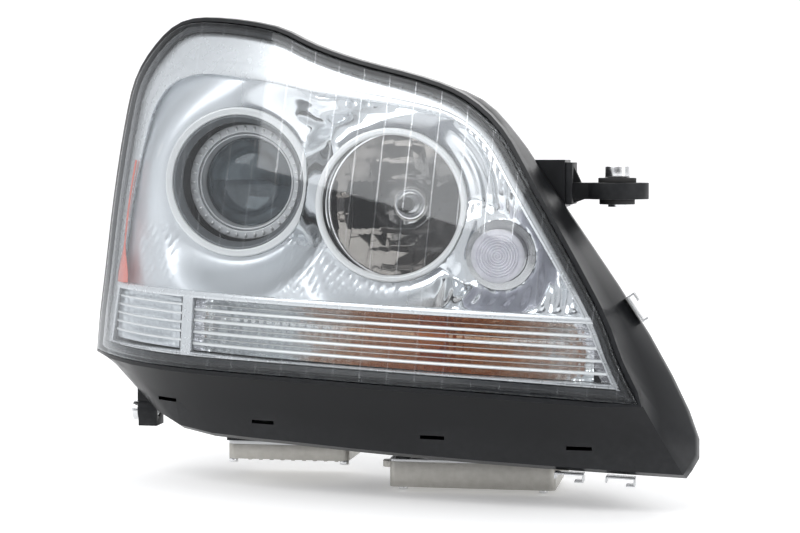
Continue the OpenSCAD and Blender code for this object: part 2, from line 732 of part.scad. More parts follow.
module shutter_solenoid() {
  at = [proj_at.x, plunger_z];
  color("#4a4c50") difference() {
    union() {
      rod_y(at, 6, 138, 158);
      block([at.x - 9, 155, at.y - 6], [at.x + 9, 160.1, at.y + 6]);
    }
    rod_y(at, 1.5 + fit_gap, 150, 161);
    rod_y(at, 3.2 + fit_gap, 139.5, 151);
  }
}

module solenoid_plunger() {
  at = [proj_at.x, plunger_z];
  color("#d0d3d6") union() {
    rod_y(at, 1.5, 149, 172);
    rod_y(at, 3.2, 146, 150);
    rod_y(at, 3, 171.5, 173.5);
  }
}

module swivel_shaft() {
  color("#c2c5c8")
    translate([proj_at.x, swivel_y, -10]) cylinder(r = 4, h = 22);
}

// ---------------------------------------------------------------- aimed carrier

module swivel_motor() {
  x = proj_at.x;
  color("#2d2f33") difference() {
    union() {
      block([x - 24, 162, -19], [x + 15, 191, -1]);
      translate([x, swivel_y, -1.5]) cylinder(r = 6.5, h = 3);
      block([x - 34, 166, -16], [x - 23, 184, -5]);
    }
    translate([x, swivel_y, -12]) cylinder(r = 4 + fit_gap, h = 20);
  }
}

module carrier_frame() {
  x = proj_at.x;
  color("#5d6065") difference() {
    union() {
      block([x - 72, 170, 123], [x + 72, 182, 136]);
      block([x - 16, 178, 122], [x + 16, 193, 134]);
      block([x - 72, 166, -29], [x + 72, 176, -19.1]);
      block([x - 26, 172, -28], [x + 15, 190, -19.4]);
      block([x - 72, 168, -28], [x - 60, 180, 130]);
      block([x + 62, 167, -28], [x + 72, 175, 130]);
      translate([x, swivel_y, 112]) cylinder(r = 4, h = 13.5);
      translate([x, swivel_y, 121.6]) cylinder(r = 9, h = 4);
      block([-80, carrier_y + 0.2, -27], [-76, 174, 118]);
      block([-80, carrier_y + 0.2, -28], [42, carrier_y + 6, 106]);
      rod_y([ball_at.x, ball_at.z], 14, carrier_y + 1, ball_at.y + 6);
      block([level_at.x - 12, carrier_y + 0.2, level_at.y - 12],
        [level_at.x + 12, carrier_y + 6, -20]);
      rod_y(level_at, 10, carrier_y + 1, 146);
      block([-220, 147, 82], [-206, 178, 98]);
      rod_y(lateral_at, 9.5, 145.5, 160);
    }
    rod_y([ball_at.x, ball_at.z], 9 + fit_gap, carrier_y - 1, ball_at.y + 8);
    rod_y(level_at, ball_r + 0.5, 133, 148);
    rod_y(level_at, 3, carrier_y - 1, 134);
    rod_y(lateral_at, ball_r + 0.5, 139, 156);
    rod_y(lateral_at, 5.5, 150, 200);
    rod_y(lateral_at, 8, 161, 200);
    rod_y(beam_at, 24, carrier_y - 1, carrier_y + 8);
    block([-66, carrier_y - 1, -14], [-40, carrier_y + 8, 8]);
    block([-66, carrier_y - 1, 70], [-40, carrier_y + 8, 96]);
  }
}

module high_beam_reflector() {
  focal = 16.25;
  function bowl_r(y) = 2 * sqrt(focal * (108 - y));
  ys = [for (k = [0:9]) 58 + (106 - 58) * k / 9];
  inner = [for (y = ys) [bowl_r(y), y]];
  outer = [for (k = [9:-1:0]) [bowl_r(ys[k]) + 1.8, ys[k] + 1.8]];
  color("#d4d7da") difference() {
    union() {
      turned(beam_at, concat([[inner[0].x, 56]], inner, [[10.2, 114], [14, 114], [14, 108.5]],
        outer, [[59.4, 59.8], [59.4, 56]]));
      for (a = [90, 210, 330]) rod_y(beam_at + 40 * [cos(a), sin(a)], 5, 80, carrier_y + 0.1);
    }
    turned(beam_at, concat([[0, 50], [inner[0].x, 50]], inner, [[0, 106]]));
    for (a = [90, 210, 330])
      rod_y(beam_at + 40 * [cos(a), sin(a)], 1.6, 104, carrier_y + 1);
  }
}

module high_beam_bulb() {
  color("#dcdfe2") union() {
    rod_y(beam_at, 5.8, 74, 106);
    rod_y(beam_at, 9.8, 104.5, 114.4);
    rod_y(beam_at, 13.5, 114.2, 116);
    block([beam_at.x - 8, 115.8, beam_at.y - 5], [beam_at.x + 8, 131, beam_at.y + 5]);
  }
}

module bulb_spring() {
  c = beam_at;
  y = 117;
  color("#b7babd") cable([[c.x - 21, y, c.y + 12], [c.x - 10, y, c.y + 8], [c.x + 11, y, c.y + 8],
    [c.x + 15, y, c.y], [c.x + 11, y, c.y - 8], [c.x - 10, y, c.y - 8],
    [c.x - 21, y, c.y - 12]], 0.8);
}

module ball_stud() {
  at = [ball_at.x, ball_at.z];
  color("#c8ccd0") union() {
    translate(ball_at) sphere(r = ball_r);
    rod_y(at, 3, ball_at.y, 158);
    rod_y(at, 5.5, 157, 159.9, $fn = 6);
    rod_y(at, 3.5, 159, 167);
  }
}

module ball_cup() {
  y = ball_at.y;
  inner = [for (k = [-8:5]) let (t = k * 10) [(ball_r + 0.12) * cos(t), y + (ball_r + 0.12) * sin(t)]];
  outer = [for (k = [5:-1:-8]) let (t = k * 10) [9 * cos(t), y + 9 * sin(t)]];
  color("#e8e6df") difference() {
    turned([ball_at.x, ball_at.z], concat(inner, outer));
    block([ball_at.x - 0.8, y + 1, ball_at.z - 12], [ball_at.x + 0.8, y + 12, ball_at.z + 12]);
  }
}

// ---------------------------------------------------------------- adjusters

module levelling_motor() {
  at = level_at;
  color("#1f2124") difference() {
    union() {
      rod_y(at, 14.8, 158.5, 180);
      block([at.x - 26, 177, at.y - 24], [at.x + 26, 210, at.y + 24]);
      rod_y(at, 17, 209, 216);
      block([at.x + 20, 182, at.y - 20], [at.x + 36, 198, at.y - 2]);
    }
    rod_y(at, 4 + fit_gap, 150, 199);
    translate([at.x, 204, at.y + 10]) cylinder(r = 3 + fit_gap, h = 30);
  }
}

module levelling_rod() {
  color("#e6e4dc") union() {
    translate([level_at.x, 140, level_at.y]) sphere(r = ball_r);
    rod_y(level_at, 4, 140, 189);
  }
}

module level_adjuster() {
  color("#8d9094") union() {
    translate([level_at.x, 204, level_at.y + 11]) cylinder(r = 3, h = 22);
    translate([level_at.x, 204, level_at.y + 24.5]) cylinder(r = 6.5, h = 2);
    translate([level_at.x, 204, level_at.y + 31]) cylinder(r = 6, h = 6.5, $fn = 6);
  }
}

module lateral_rod() {
  color("#c8ccd0") union() {
    translate([lateral_at.x, ball_at.y, lateral_at.y]) sphere(r = ball_r);
    rod_y(lateral_at, 4, ball_at.y, 244);
  }
}

module lateral_knob() {
  color("#e3e1da") difference() {
    union() {
      rod_y(lateral_at, 8.6, 237, 246);
      rod_y(lateral_at, 6.5, 232.3, 238);
      for (a = [0:30:330])
        rod_y(lateral_at + 8.6 * [cos(a), sin(a)], 1.3, 237, 246, $fn = 20);
    }
    rod_y(lateral_at, 4 + fit_gap, 230, 248);
  }
}

// ---------------------------------------------------------------- rear covers

module xenon_cover() {
  r = xenon_collar_r;
  y = xenon_collar_y;
  color("#232428") union() {
    turned(proj_at, [[0, y + 3], [r + 1.3, y + 3], [r + 1.3, y - 10], [r + 4, y - 10],
      [r + 4, y + 4], [r, y + 6.5], [0, y + 6.5]]);
    turned(proj_at, [[48, y + 6], [56, y + 6], [56, y + 9], [48, y + 9]]);
    turned(proj_at, [[0, y + 6], [20, y + 6], [18, y + 9], [0, y + 9]]);
  }
}

module xenon_cover_seal() {
  r = xenon_collar_r;
  y = xenon_collar_y;
  color("#3a3a3a") tube_y(proj_at, r - 0.4, r - 3.6, y + 0.1, y + 2.9);
}

module cover_bail() {
  x = proj_at.x;
  color("#c3c6c9") cable([[x - 42, 283, 139], [x - 30, 283, 139], [x - 30, 297.5, 131],
    [x - 30, 297.5, 0], [x - 15, 292, -14], [x + 15, 292, -14], [x + 30, 297.5, 0],
    [x + 30, 297.5, 131], [x + 30, 283, 139], [x + 42, 283, 139]], 1.5);
}

module high_beam_cover() {
  r = beam_collar_r;
  y = beam_collar_y;
  color("#232428") union() {
    turned(beam_at, [[0, y + 2.2], [r + 1, y + 2.2], [r + 1, y - 9], [r + 4, y - 9],
      [r + 4, y + 3.5], [r + 1.5, y + 5.5], [0, y + 5.5]]);
    block([beam_at.x - 38, y + 5, beam_at.y - 4], [beam_at.x + 38, y + 15, beam_at.y + 4]);
    for (a = [0:15:345])
      rod_y(beam_at + (r + 4) * [cos(a), sin(a)], 1.6, y - 9, y + 3.5, $fn = 20);
  }
}

module high_beam_cover_seal() {
  r = beam_collar_r;
  y = beam_collar_y;
  color("#3a3a3a") tube_y(beam_at, r - 0.4, r - 3.4, y + 0.1, y + 2.1);
}

module main_connector() {
  c = plug_at;
  color("#26282b") difference() {
    union() {
      block([c.x - 19.8, 146, c.y - 8.8], [c.x + 19.8, 186, c.y + 8.8]);
      block([c.x - 27, 164.1, c.y - 15], [c.x + 27, 167, c.y + 15]);
      block([c.x - 5, 166, c.y + 8], [c.x + 5, 180, c.y + 12]);
    }
    block([c.x - 17.5, 168, c.y - 6.5], [c.x + 17.5, 187, c.y + 6.5]);
  }
}

module breather_caps() {
  color("#1c1c1e") for (p = breather_at) difference() {
    rod_y(p, 8, rear_y(p.x) + 4, rear_y(p.x) + 17);
    rod_y(p, 5.1, rear_y(p.x) + 3, rear_y(p.x) + 14);
    for (a = [0, 90]) translate([p.x, rear_y(p.x) + 4, p.y]) rotate([0, a, 0])
      block([-9, -1, -1.5], [9, 2, 1.5]);
  }
}

module wiring_harness() {
  c = plug_at;
  b = turn_bulb_at;
  color("#222222") union() {
    cable([[c.x - 8, 143.2, c.y], [c.x - 14, 132, c.y - 6], [52, 108, -62], [b.x + 4, 98, b.y - 3],
      [b.x + 2, 86.8, b.y]], 2.4);
    cable([[c.x + 8, 143.2, c.y], [c.x + 10, 128, c.y + 10], [96, 100, -30], [84, 82, -2],
      [park_at.x + 1, 72.4, park_at.y]], 2);
    cable([[c.x - 14, 132, c.y - 6], [60, 136, -92], [-20, 138, -112], [-62, 140, -116]], 2.4);
  }
}

// ---------------------------------------------------------------- ballast and control unit

// Flat casting with round corners
module rounded_slab(low, high, r) {
  block([low.x + r, low.y, low.z], [high.x - r, high.y, high.z]);
  block([low.x, low.y + r, low.z], [high.x, high.y - r, high.z]);
  for (x = [low.x + r, high.x - r], y = [low.y + r, high.y - r])
    translate([x, y, low.z]) cylinder(r = r, h = high.z - low.z);
}

module ballast_case() {
  a = ballast_low;
  b = ballast_high;
  color("#b9bcbf") difference() {
    union() {
      rounded_slab(a, b, 6);
      for (x = [a.x + 14:9:b.x - 12]) block([x, a.y + 12, a.z - 2.5], [x + 3, b.y - 12, a.z + 1]);
    }
    for (x = [-154, -62], y = [94, 171])
      translate([x, y, a.z - 3]) cylinder(r = 2.3, h = 20);
    block([a.x + 20, a.y + 14, a.z + 3], [b.x - 20, b.y - 14, b.z + 1]);
  }
}

module ballast_lid() {
  a = ballast_low;
  b = ballast_high;
  color("#a6a9ad") difference() {
    union() {
      rounded_slab([a.x, a.y, b.z], [b.x, b.y, floor_pad_z], 6);
      block([a.x + 10, a.y + 9, floor_pad_z - 1], [b.x - 10, b.y - 9, -127]);
    }
    for (x = [-154, -62], y = [94, 171])
      translate([x, y, b.z - 1]) cylinder(r = 2.3, h = 20);
    block([a.x + 20, a.y + 14, b.z - 1], [b.x - 20, b.y - 14, -129]);
  }
}

module control_unit() {
  a = unit_low;
  b = unit_high;
  color("#aeb1b4") difference() {
    union() {
      rounded_slab(a, b, 5);
      rounded_slab([a.x - 6, a.y + 3, b.z - 5], [b.x + 10, a.y + 14, b.z], 4);
      for (y = [a.y + 14:10:b.y - 14]) block([a.x + 22, y, a.z - 2], [b.x - 22, y + 3, a.z + 1]);
    }
    for (x = [-10, 101], y = [72, 138])
      translate([x, y, a.z - 3]) cylinder(r = 2.3, h = 30);
    block([a.x + 16, a.y + 5, a.z + 3], [b.x - 16, b.y - 5, b.z + 1]);
  }
}

module control_unit_lid() {
  a = unit_low;
  b = unit_high;
  color("#8e9195") difference() {
    rounded_slab([a.x, a.y, b.z], [b.x, b.y, unit_post_z], 5);
    for (x = [-10, 101], y = [72, 138])
      translate([x, y, b.z - 1]) cylinder(r = 2.3, h = 10);
  }
}

module screw_up(x, y, seat, tip) {
  translate([x, y, seat - 0.5]) cylinder(r = 2, h = tip - seat + 0.5);
  difference() {
    translate([x, y, seat - 3]) cylinder(r = 3.8, h = 2.95);
    translate([x, y, seat - 4]) cylinder(r = 1.7, h = 2.4, $fn = 6);
  }
}

module case_screws() {
  color("#6f7276") {
    for (x = [-154, -62], y = [94, 171]) screw_up(x, y, ballast_low.z, -142);
    for (x = [-10, 101], y = [72, 138]) screw_up(x, y, unit_low.z, -148);
  }
}

// ---------------------------------------------------------------- fixings

module mounting_arm() {
  e = eye_at;
  color("#1a1b1d") difference() {
    union() {
      translate([e.x, e.y, 50]) cylinder(r = 24, h = 12.5);
      block([122, e.y - 12, 50], [e.x - 12, e.y + 12, 62.5]);
      block([119.9, 42, 46], [125, 86, 78]);
      translate([0, e.y + 3, 0]) rotate([90, 0, 0]) linear_extrude(height = 6)
        polygon([[124, 46.5], [124, 77], [131, 62], [142, 62], [142, 50.5], [135, 50.5]]);
    }
    translate([e.x, e.y, 40]) cylinder(r = 11, h = 40);
  }
}

module arm_bush() {
  e = eye_at;
  color("#101010") difference() {
    union() {
      translate([e.x, e.y, 46]) cylinder(r = 10.95, h = 20);
      translate([e.x, e.y, 62.6]) cylinder(r = 14.5, h = 3.6);
      translate([e.x, e.y, 46]) cylinder(r = 13.5, h = 3.9);
    }
    translate([e.x, e.y, 40]) cylinder(r = 7.05, h = 40);
  }
}

module arm_sleeve() {
  e = eye_at;
  color("#c9cccf") difference() {
    union() {
      translate([e.x, e.y, e.z - eye_sleeve_l / 2]) cylinder(r = 7, h = eye_sleeve_l);
      translate([e.x, e.y, 66.4]) cylinder(r = 9.4, h = e.z + eye_sleeve_l / 2 - 66.4);
    }
    translate([e.x, e.y, 30]) cylinder(r = eye_bore_d / 2, h = 60);
  }
}

module foot_bracket() {
  f = foot_at;
  color("#1b1c1e") difference() {
    union() {
      block([-237.5, 104, f.z - 12], [-222, 124, -118.5]);
      translate([-238, f.y, f.z]) rotate([0, 90, 0]) cylinder(r = 8.3, h = 14);
    }
    translate([-240, f.y, f.z]) rotate([0, 90, 0]) cylinder(r = 5.05, h = 18);
  }
}

module foot_insert() {
  f = foot_at;
  color("#bfc2c5") difference() {
    union() {
      translate([-243, f.y, f.z]) rotate([0, 90, 0]) cylinder(r = 5, h = 20);
      translate([-243, f.y, f.z]) rotate([0, 90, 0]) cylinder(r = 8, h = 4.8);
    }
    translate([-244, f.y, f.z]) rotate([0, 90, 0]) cylinder(r = foot_bore_d / 2, h = 22);
  }
}

module top_sleeve() {
  t = top_lug_at;
  color("#bfc2c5") difference() {
    union() {
      translate([t.x, t.y, 173.5]) cylinder(r = 5, h = 15);
      translate([t.x, t.y, 188.1]) cylinder(r = 8, h = 1.6);
    }
    translate([t.x, t.y, 170]) cylinder(r = top_bore_d / 2, h = 24);
  }
}

in_part_frame() housing();
in_part_frame() outer_lens();
in_part_frame() lens_seal();
in_part_frame() lens_clips();
in_part_frame() bezel_frame();
in_part_frame() chrome_panel();
in_part_frame() projector_shroud();
in_part_frame() high_beam_ring();
in_part_frame() side_reflex_strip();
in_part_frame() side_lamp_reflector();
in_part_frame() turn_reflector();
in_part_frame() turn_louvre();
in_part_frame() turn_bulb();
in_part_frame() turn_bulb_holder();
in_part_frame() parking_lens();
in_part_frame() parking_reflector();
in_part_frame() parking_bulb();
in_part_frame() parking_bulb_holder();
in_part_frame() projector_glass();
in_part_frame() lens_ring();
in_part_frame() lens_holder();
in_part_frame() projector_frame();
in_part_frame() projector_reflector();
in_part_frame() xenon_bulb();
in_part_frame() igniter();
in_part_frame() cutoff_shutter();
in_part_frame() shutter_solenoid();
in_part_frame() solenoid_plunger();
in_part_frame() swivel_shaft();
in_part_frame() swivel_motor();
in_part_frame() carrier_frame();
in_part_frame() high_beam_reflector();
in_part_frame() high_beam_bulb();
in_part_frame() bulb_spring();
in_part_frame() ball_stud();
in_part_frame() ball_cup();
in_part_frame() levelling_motor();
in_part_frame() levelling_rod();
in_part_frame() level_adjuster();
in_part_frame() lateral_rod();
in_part_frame() lateral_knob();
in_part_frame() xenon_cover();
in_part_frame() xenon_cover_seal();
in_part_frame() cover_bail();
in_part_frame() high_beam_cover();
in_part_frame() high_beam_cover_seal();
in_part_frame() main_connector();
in_part_frame() breather_caps();
in_part_frame() wiring_harness();
in_part_frame() ballast_case();
in_part_frame() ballast_lid();
in_part_frame() control_unit();
in_part_frame() control_unit_lid();
in_part_frame() case_screws();
in_part_frame() mounting_arm();
in_part_frame() arm_bush();
in_part_frame() arm_sleeve();
in_part_frame() foot_bracket();
in_part_frame() foot_insert();
in_part_frame() top_sleeve();
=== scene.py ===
import math
from collections import Counter

import bmesh
import bpy
import numpy as np
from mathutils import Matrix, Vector
from mathutils.geometry import delaunay_2d_cdt

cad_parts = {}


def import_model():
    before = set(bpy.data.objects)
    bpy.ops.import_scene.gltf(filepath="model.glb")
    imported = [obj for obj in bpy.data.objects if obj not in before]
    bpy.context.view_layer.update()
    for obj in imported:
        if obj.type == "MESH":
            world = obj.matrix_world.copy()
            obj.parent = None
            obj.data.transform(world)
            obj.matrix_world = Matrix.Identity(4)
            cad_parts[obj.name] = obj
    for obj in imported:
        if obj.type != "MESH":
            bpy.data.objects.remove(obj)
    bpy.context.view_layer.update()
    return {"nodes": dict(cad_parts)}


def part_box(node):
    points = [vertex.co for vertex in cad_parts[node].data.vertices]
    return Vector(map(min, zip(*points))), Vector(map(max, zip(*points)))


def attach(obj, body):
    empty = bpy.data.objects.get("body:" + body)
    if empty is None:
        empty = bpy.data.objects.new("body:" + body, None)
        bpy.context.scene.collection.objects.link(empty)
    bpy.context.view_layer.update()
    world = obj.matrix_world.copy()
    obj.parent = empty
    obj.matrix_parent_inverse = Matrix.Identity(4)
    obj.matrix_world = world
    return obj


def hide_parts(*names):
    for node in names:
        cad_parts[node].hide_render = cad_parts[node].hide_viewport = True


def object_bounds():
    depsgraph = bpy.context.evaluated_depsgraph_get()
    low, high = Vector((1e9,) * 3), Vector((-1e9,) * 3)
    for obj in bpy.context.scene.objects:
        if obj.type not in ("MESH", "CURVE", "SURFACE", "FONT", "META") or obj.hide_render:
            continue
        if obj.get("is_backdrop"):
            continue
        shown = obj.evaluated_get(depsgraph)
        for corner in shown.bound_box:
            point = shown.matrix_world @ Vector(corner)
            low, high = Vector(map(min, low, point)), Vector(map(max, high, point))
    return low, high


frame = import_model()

MM = 0.001
ROOT = "housing"

# The frame's origin is the centre of the inboard mounting eye. Shapes below are drawn in lamp
# axes, in millimetres about the middle of the lamp face: +X inboard, +Y rearward, +Z up.
EYE = np.array([158.0, 60.0, 59.5])


def lamp_box(node):
    """Lowest and highest corner of a CAD node, in lamp axes."""
    low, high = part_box(node)
    return np.array(low) / MM + EYE, np.array(high) / MM + EYE


def axis_of(node):
    """X and Z of the axis of a turned node."""
    low, high = lamp_box(node)
    return np.array([low[0] + high[0], low[2] + high[2]]) / 2


PROJECTOR = axis_of("projector_glass")
BEAM = axis_of("high_beam_reflector")
BEAM_RING = axis_of("high_beam_ring")
PARK = axis_of("parking_lens")
GLASS_R = (lamp_box("projector_glass")[1][0] - lamp_box("projector_glass")[0][0]) / 2
SHROUD_R = (lamp_box("projector_shroud")[1][2] - PROJECTOR[1])
SHROUD_Y = lamp_box("projector_shroud")[0][1]
RING_R = lamp_box("high_beam_ring")[1][0] - BEAM_RING[0]
RING_Y = lamp_box("high_beam_ring")[0][1]
PARK_R = lamp_box("parking_lens")[1][0] - PARK[0]
PARK_Y = lamp_box("parking_lens")[0][1]
PARK_BASE_R = lamp_box("parking_reflector")[1][0] - PARK[0]
BOWL_Y = lamp_box("high_beam_reflector")[0][1]

BEZEL_BACK = 14.0
PANEL_BACK = 22.0
STEPS = 8


# ------------------------------------------------------------------ lamp face and outlines

def face_y(x, z):
    """Y of the clear lens's outer face, as the CAD lens has it."""
    s = np.maximum(0.0, (180.0 - x) / 480.0)
    crown = (z - 50.0) / 145.0
    return -45.0 + 125.0 * s**2 + 90.0 * s**10 + 0.28 * (z + 95.0) + 8.0 * crown**2 - 8.0


def spline(ctrl, steps=STEPS):
    """Catmull-Rom run of points through the control points."""
    ctrl = np.array(ctrl, float)
    padded = np.vstack([ctrl[:1], ctrl, ctrl[-1:]])
    t = (np.arange(steps) / steps)[:, None]
    out = []
    for a, b, c, d in zip(padded, padded[1:], padded[2:], padded[3:]):
        out.append(0.5 * (2 * b + (c - a) * t + (2 * a - 5 * b + 4 * c - d) * t**2
                          + (3 * b - a - 3 * c + d) * t**3))
    return np.vstack(out + [ctrl[-1:]])


def outline(low, up):
    """Closed outline of two runs that share the sharp lower inboard corner."""
    return np.vstack([spline(low)[:-1], spline(up)])


RIM = outline(
    [(-284, -79), (-200, -82), (-90, -84), (60, -89), (180, -95)],
    [(180, -95), (165, -66), (148, -26), (97, 61), (72, 101), (44, 125), (10, 139),
     (-42, 153), (-80, 166), (-117, 182), (-170, 191), (-205, 190), (-231, 173),
     (-252, 146), (-261, 109), (-269, 50), (-275, -10), (-281, -50)])

BEZEL_OPEN = outline(
    [(-266, -70.5), (-190, -71.5), (-90, -75), (60, -79.5), (160, -83)],
    [(160, -83), (150, -60), (133, -25), (84, 54), (60, 92), (35, 111), (5, 119),
     (-46, 127), (-82, 133), (-118, 141), (-168, 149), (-196, 149), (-218, 140),
     (-233, 120), (-240, 95), (-250, 48), (-256, -5), (-262, -42)])


def grow(loop, d):
    """Outline moved outward by d, its corners mitred."""
    before = loop - np.roll(loop, 1, 0)
    before /= np.linalg.norm(before, axis=1)[:, None]
    after = np.roll(before, -1, 0)
    n0 = np.stack([before[:, 1], -before[:, 0]], 1)
    n1 = np.stack([after[:, 1], -after[:, 0]], 1)
    bend = 1 + (n0 * n1).sum(1)
    return loop + d * (n0 + n1) / np.maximum(bend, 1.2 if d > 0 else 0.3)[:, None]


def on_face(loop, back):
    """Ring of the outline, "back" behind the lens face."""
    return np.column_stack([loop[:, 0], face_y(loop[:, 0], loop[:, 1]) + back, loop[:, 1]])


def ease(t):
    u = np.clip(t, 0.0, 1.0)
    return u * u * (3 - 2 * u)


def turn_top(x):
    return -29.5 - 0.033 * (x + 176.5)


def turn_bottom(x):
    return -71.5 - 0.0356 * (x + 172.0)


def turn_right(z):
    return 141.0 + 0.53 * (-40.0 - z)


def bar_top(x):
    return turn_top(x) + 5.5


# ------------------------------------------------------------------ mesh building

def piece(name, points, faces, look, body=ROOT, stands_for=(), sharp=32.0, slot=None):
    """Mesh object from points in lamp millimetres."""
    mesh = bpy.data.meshes.new(name)
    mesh.from_pydata([tuple(p) for p in (np.asarray(points) - EYE) * MM], [], faces)
    bm = bmesh.new()
    bm.from_mesh(mesh)
    bmesh.ops.remove_doubles(bm, verts=bm.verts, dist=2e-6)
    bmesh.ops.dissolve_degenerate(bm, edges=bm.edges, dist=1e-6)
    bmesh.ops.recalc_face_normals(bm, faces=bm.faces)
    bm.to_mesh(mesh)
    bm.free()
    mesh.polygons.foreach_set("use_smooth", [True] * len(mesh.polygons))
    mesh.set_sharp_from_angle(angle=math.radians(sharp))
    obj = bpy.data.objects.new(name, mesh)
    bpy.context.scene.collection.objects.link(obj)
    mesh.materials.append(look)
    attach(obj, body)
    if stands_for:
        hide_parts(*stands_for)
    return obj


def grid_faces(nu, nv, wrap_u=False, wrap_v=False):
    faces = []
    for i in range(nu if wrap_u else nu - 1):
        for j in range(nv if wrap_v else nv - 1):
            i2, j2 = (i + 1) % nu, (j + 1) % nv
            faces.append((i * nv + j, i2 * nv + j, i2 * nv + j2, i * nv + j2))
    return faces


def thick(points, faces, back):
    """Closes an open sheet with a second face, moved by back."""
    points = np.asarray(points, float)
    n = len(points)
    used = Counter()
    for f in faces:
        used.update(zip(f, f[1:] + f[:1]))
    walls = [(b, a, a + n, b + n) for a, b in used if (b, a) not in used]
    rear = [tuple(i + n for i in reversed(f)) for f in faces]
    return np.vstack([points, points + np.asarray(back, float)]), list(faces) + rear + walls


def sheet(name, grid, back, look, **extra):
    """Closed plate from a grid of points (columns, rows, 3)."""
    nu, nv = grid.shape[:2]
    points, faces = thick(grid.reshape(-1, 3), grid_faces(nu, nv), back)
    return piece(name, points, faces, look, **extra)


def hoop(name, rings, look, **extra):
    """Closed hoop whose cross-section corners are the rings."""
    m, n = len(rings), len(rings[0])
    return piece(name, np.vstack(rings), grid_faces(m, n, True, True), look, **extra)


def fillet(corners, radius, steps=4, closed=True):
    """Rounds the corners of a profile."""
    pts = [np.array(p[:2], float) for p in corners]
    out = []
    for i, p in enumerate(pts):
        if not closed and i in (0, len(pts) - 1):
            out.append(p)
            continue
        a, b = pts[i - 1], pts[(i + 1) % len(pts)]
        la, lb = np.linalg.norm(a - p), np.linalg.norm(b - p)
        reach = min(radius, la * 0.45, lb * 0.45)
        if reach < 1e-3 or p[0] == 0:
            out.append(p)
            continue
        pa, pb = p + (a - p) / la * reach, p + (b - p) / lb * reach
        for k in range(steps + 1):
            t = k / steps
            out.append((1 - t)**2 * pa + 2 * t * (1 - t) * p + t**2 * pb)
    return np.array(out)


def turned_points(at, profile, n):
    a = np.arange(n) * 2 * math.pi / n
    r, y = profile[:, 0][:, None], profile[:, 1][:, None]
    return np.stack([at[0] + r * np.cos(a), y + 0 * a, at[1] + r * np.sin(a)], -1)


def turned(name, at, corners, look, radius=0.5, n=144, **extra):
    """Turned part along Y: profile corners are radius and Y."""
    profile = fillet(corners, radius)
    points = turned_points(at, profile, n)
    return piece(name, points.reshape(-1, 3), grid_faces(len(profile), n, True, True), look, **extra)


# ------------------------------------------------------------------ materials

class Nodes:
    """Small helper for building one material's node graph."""

    def __init__(self, name):
        self.mat = bpy.data.materials.new(name)
        self.mat.use_nodes = True
        self.tree = self.mat.node_tree
        self.tree.nodes.clear()
        self.out = self.add("ShaderNodeOutputMaterial")
        self.where = self.add("ShaderNodeTexCoord").outputs["Object"]

    def add(self, kind, **values):
        node = self.tree.nodes.new(kind)
        for key, value in values.items():
            if hasattr(node, key) and key not in node.inputs:
                setattr(node, key, value)
            else:
                self.put(value, node.inputs[key])
        return node

    def put(self, value, socket):
        if isinstance(value, bpy.types.NodeSocket):
            self.tree.links.new(value, socket)
        else:
            socket.default_value = value

    def math(self, op, a, b=0.0):
        node = self.add("ShaderNodeMath", operation=op)
        self.put(a, node.inputs[0])
        self.put(b, node.inputs[1])
        return node.outputs[0]

    def noise(self, scale, detail=3.0, where=None):
        node = self.add("ShaderNodeTexNoise", Scale=scale, Detail=detail)
        self.put(where or self.where, node.inputs["Vector"])
        return node.outputs["Fac"]

    def ramp(self, value, stops):
        node = self.add("ShaderNodeValToRGB")
        self.put(value, node.inputs["Fac"])
        ramp = node.color_ramp
        while len(ramp.elements) < len(stops):
            ramp.elements.new(0.5)
        for element, (at, colour) in zip(ramp.elements, stops):
            element.position = at
            element.color = (*colour, 1) if len(colour) == 3 else colour
        return node.outputs["Color"]

    def mix(self, a, b, fac):
        node = self.add("ShaderNodeMix", data_type="RGBA")
        self.put(fac, node.inputs[0])
        self.put(a, node.inputs[6])
        self.put(b, node.inputs[7])
        return node.outputs[2]

    def span(self, value, low, high):
        node = self.add("ShaderNodeMapRange")
        self.put(value, node.inputs["Value"])
        node.inputs["To Min"].default_value = low
        node.inputs["To Max"].default_value = high
        return node.outputs["Result"]

    def bump(self, height, distance, strength=1.0):
        node = self.add("ShaderNodeBump", Strength=strength, Distance=distance)
        self.put(height, node.inputs["Height"])
        return node.outputs["Normal"]

    def glance(self, facing_share):
        """Share of light mirrored by a clear surface, the same from both of its sides."""
        facing = self.add("ShaderNodeLayerWeight", Blend=0.5).outputs["Facing"]
        return self.math("ADD", self.math("MULTIPLY", self.math("POWER", facing, 4.0), 0.9), facing_share)

    def finish(self, shader):
        self.tree.links.new(shader, self.out.inputs["Surface"])
        return self.mat


def rgba(colour):
    return (*colour, 1.0)


def solid(name, colour, rough, metal=0.0, grain=2500.0, depth=0.00002, vary=0.12, wear=0.0,
          coat=0.0, spread=0.08, worn=None, shine=0.5):
    """Moulded, painted or cast surface with grain, uneven colour and gloss, and worn edges."""
    g = Nodes(name)
    cloud = g.noise(35.0, 4.0)
    fine = g.noise(grain, 2.0)
    dark = tuple(c * (1 - vary) for c in colour)
    light = tuple(min(1.0, c * (1 + vary)) for c in colour)
    tint = g.mix(rgba(dark), rgba(light), cloud)
    if wear:
        edge = g.ramp(g.add("ShaderNodeNewGeometry").outputs["Pointiness"],
                      [(0.505, (0, 0, 0)), (0.56, (1, 1, 1))])
        patchy = g.math("MULTIPLY", edge, g.span(g.noise(180.0, 5.0), 0.0, 2 * wear))
        tint = g.mix(tint, rgba(worn or tuple(min(1.0, c * 2.4 + 0.05) for c in colour)), patchy)
    shader = g.add("ShaderNodeBsdfPrincipled", Metallic=metal)
    g.put(shine, shader.inputs["Specular IOR Level"])
    g.put(tint, shader.inputs["Base Color"])
    g.put(g.span(g.noise(90.0, 5.0), rough - spread / 2, rough + spread / 2), shader.inputs["Roughness"])
    g.put(g.bump(fine, depth), shader.inputs["Normal"])
    if coat:
        g.put(coat, shader.inputs["Coat Weight"])
        g.put(0.08, shader.inputs["Coat Roughness"])
    return g.finish(shader.outputs[0])


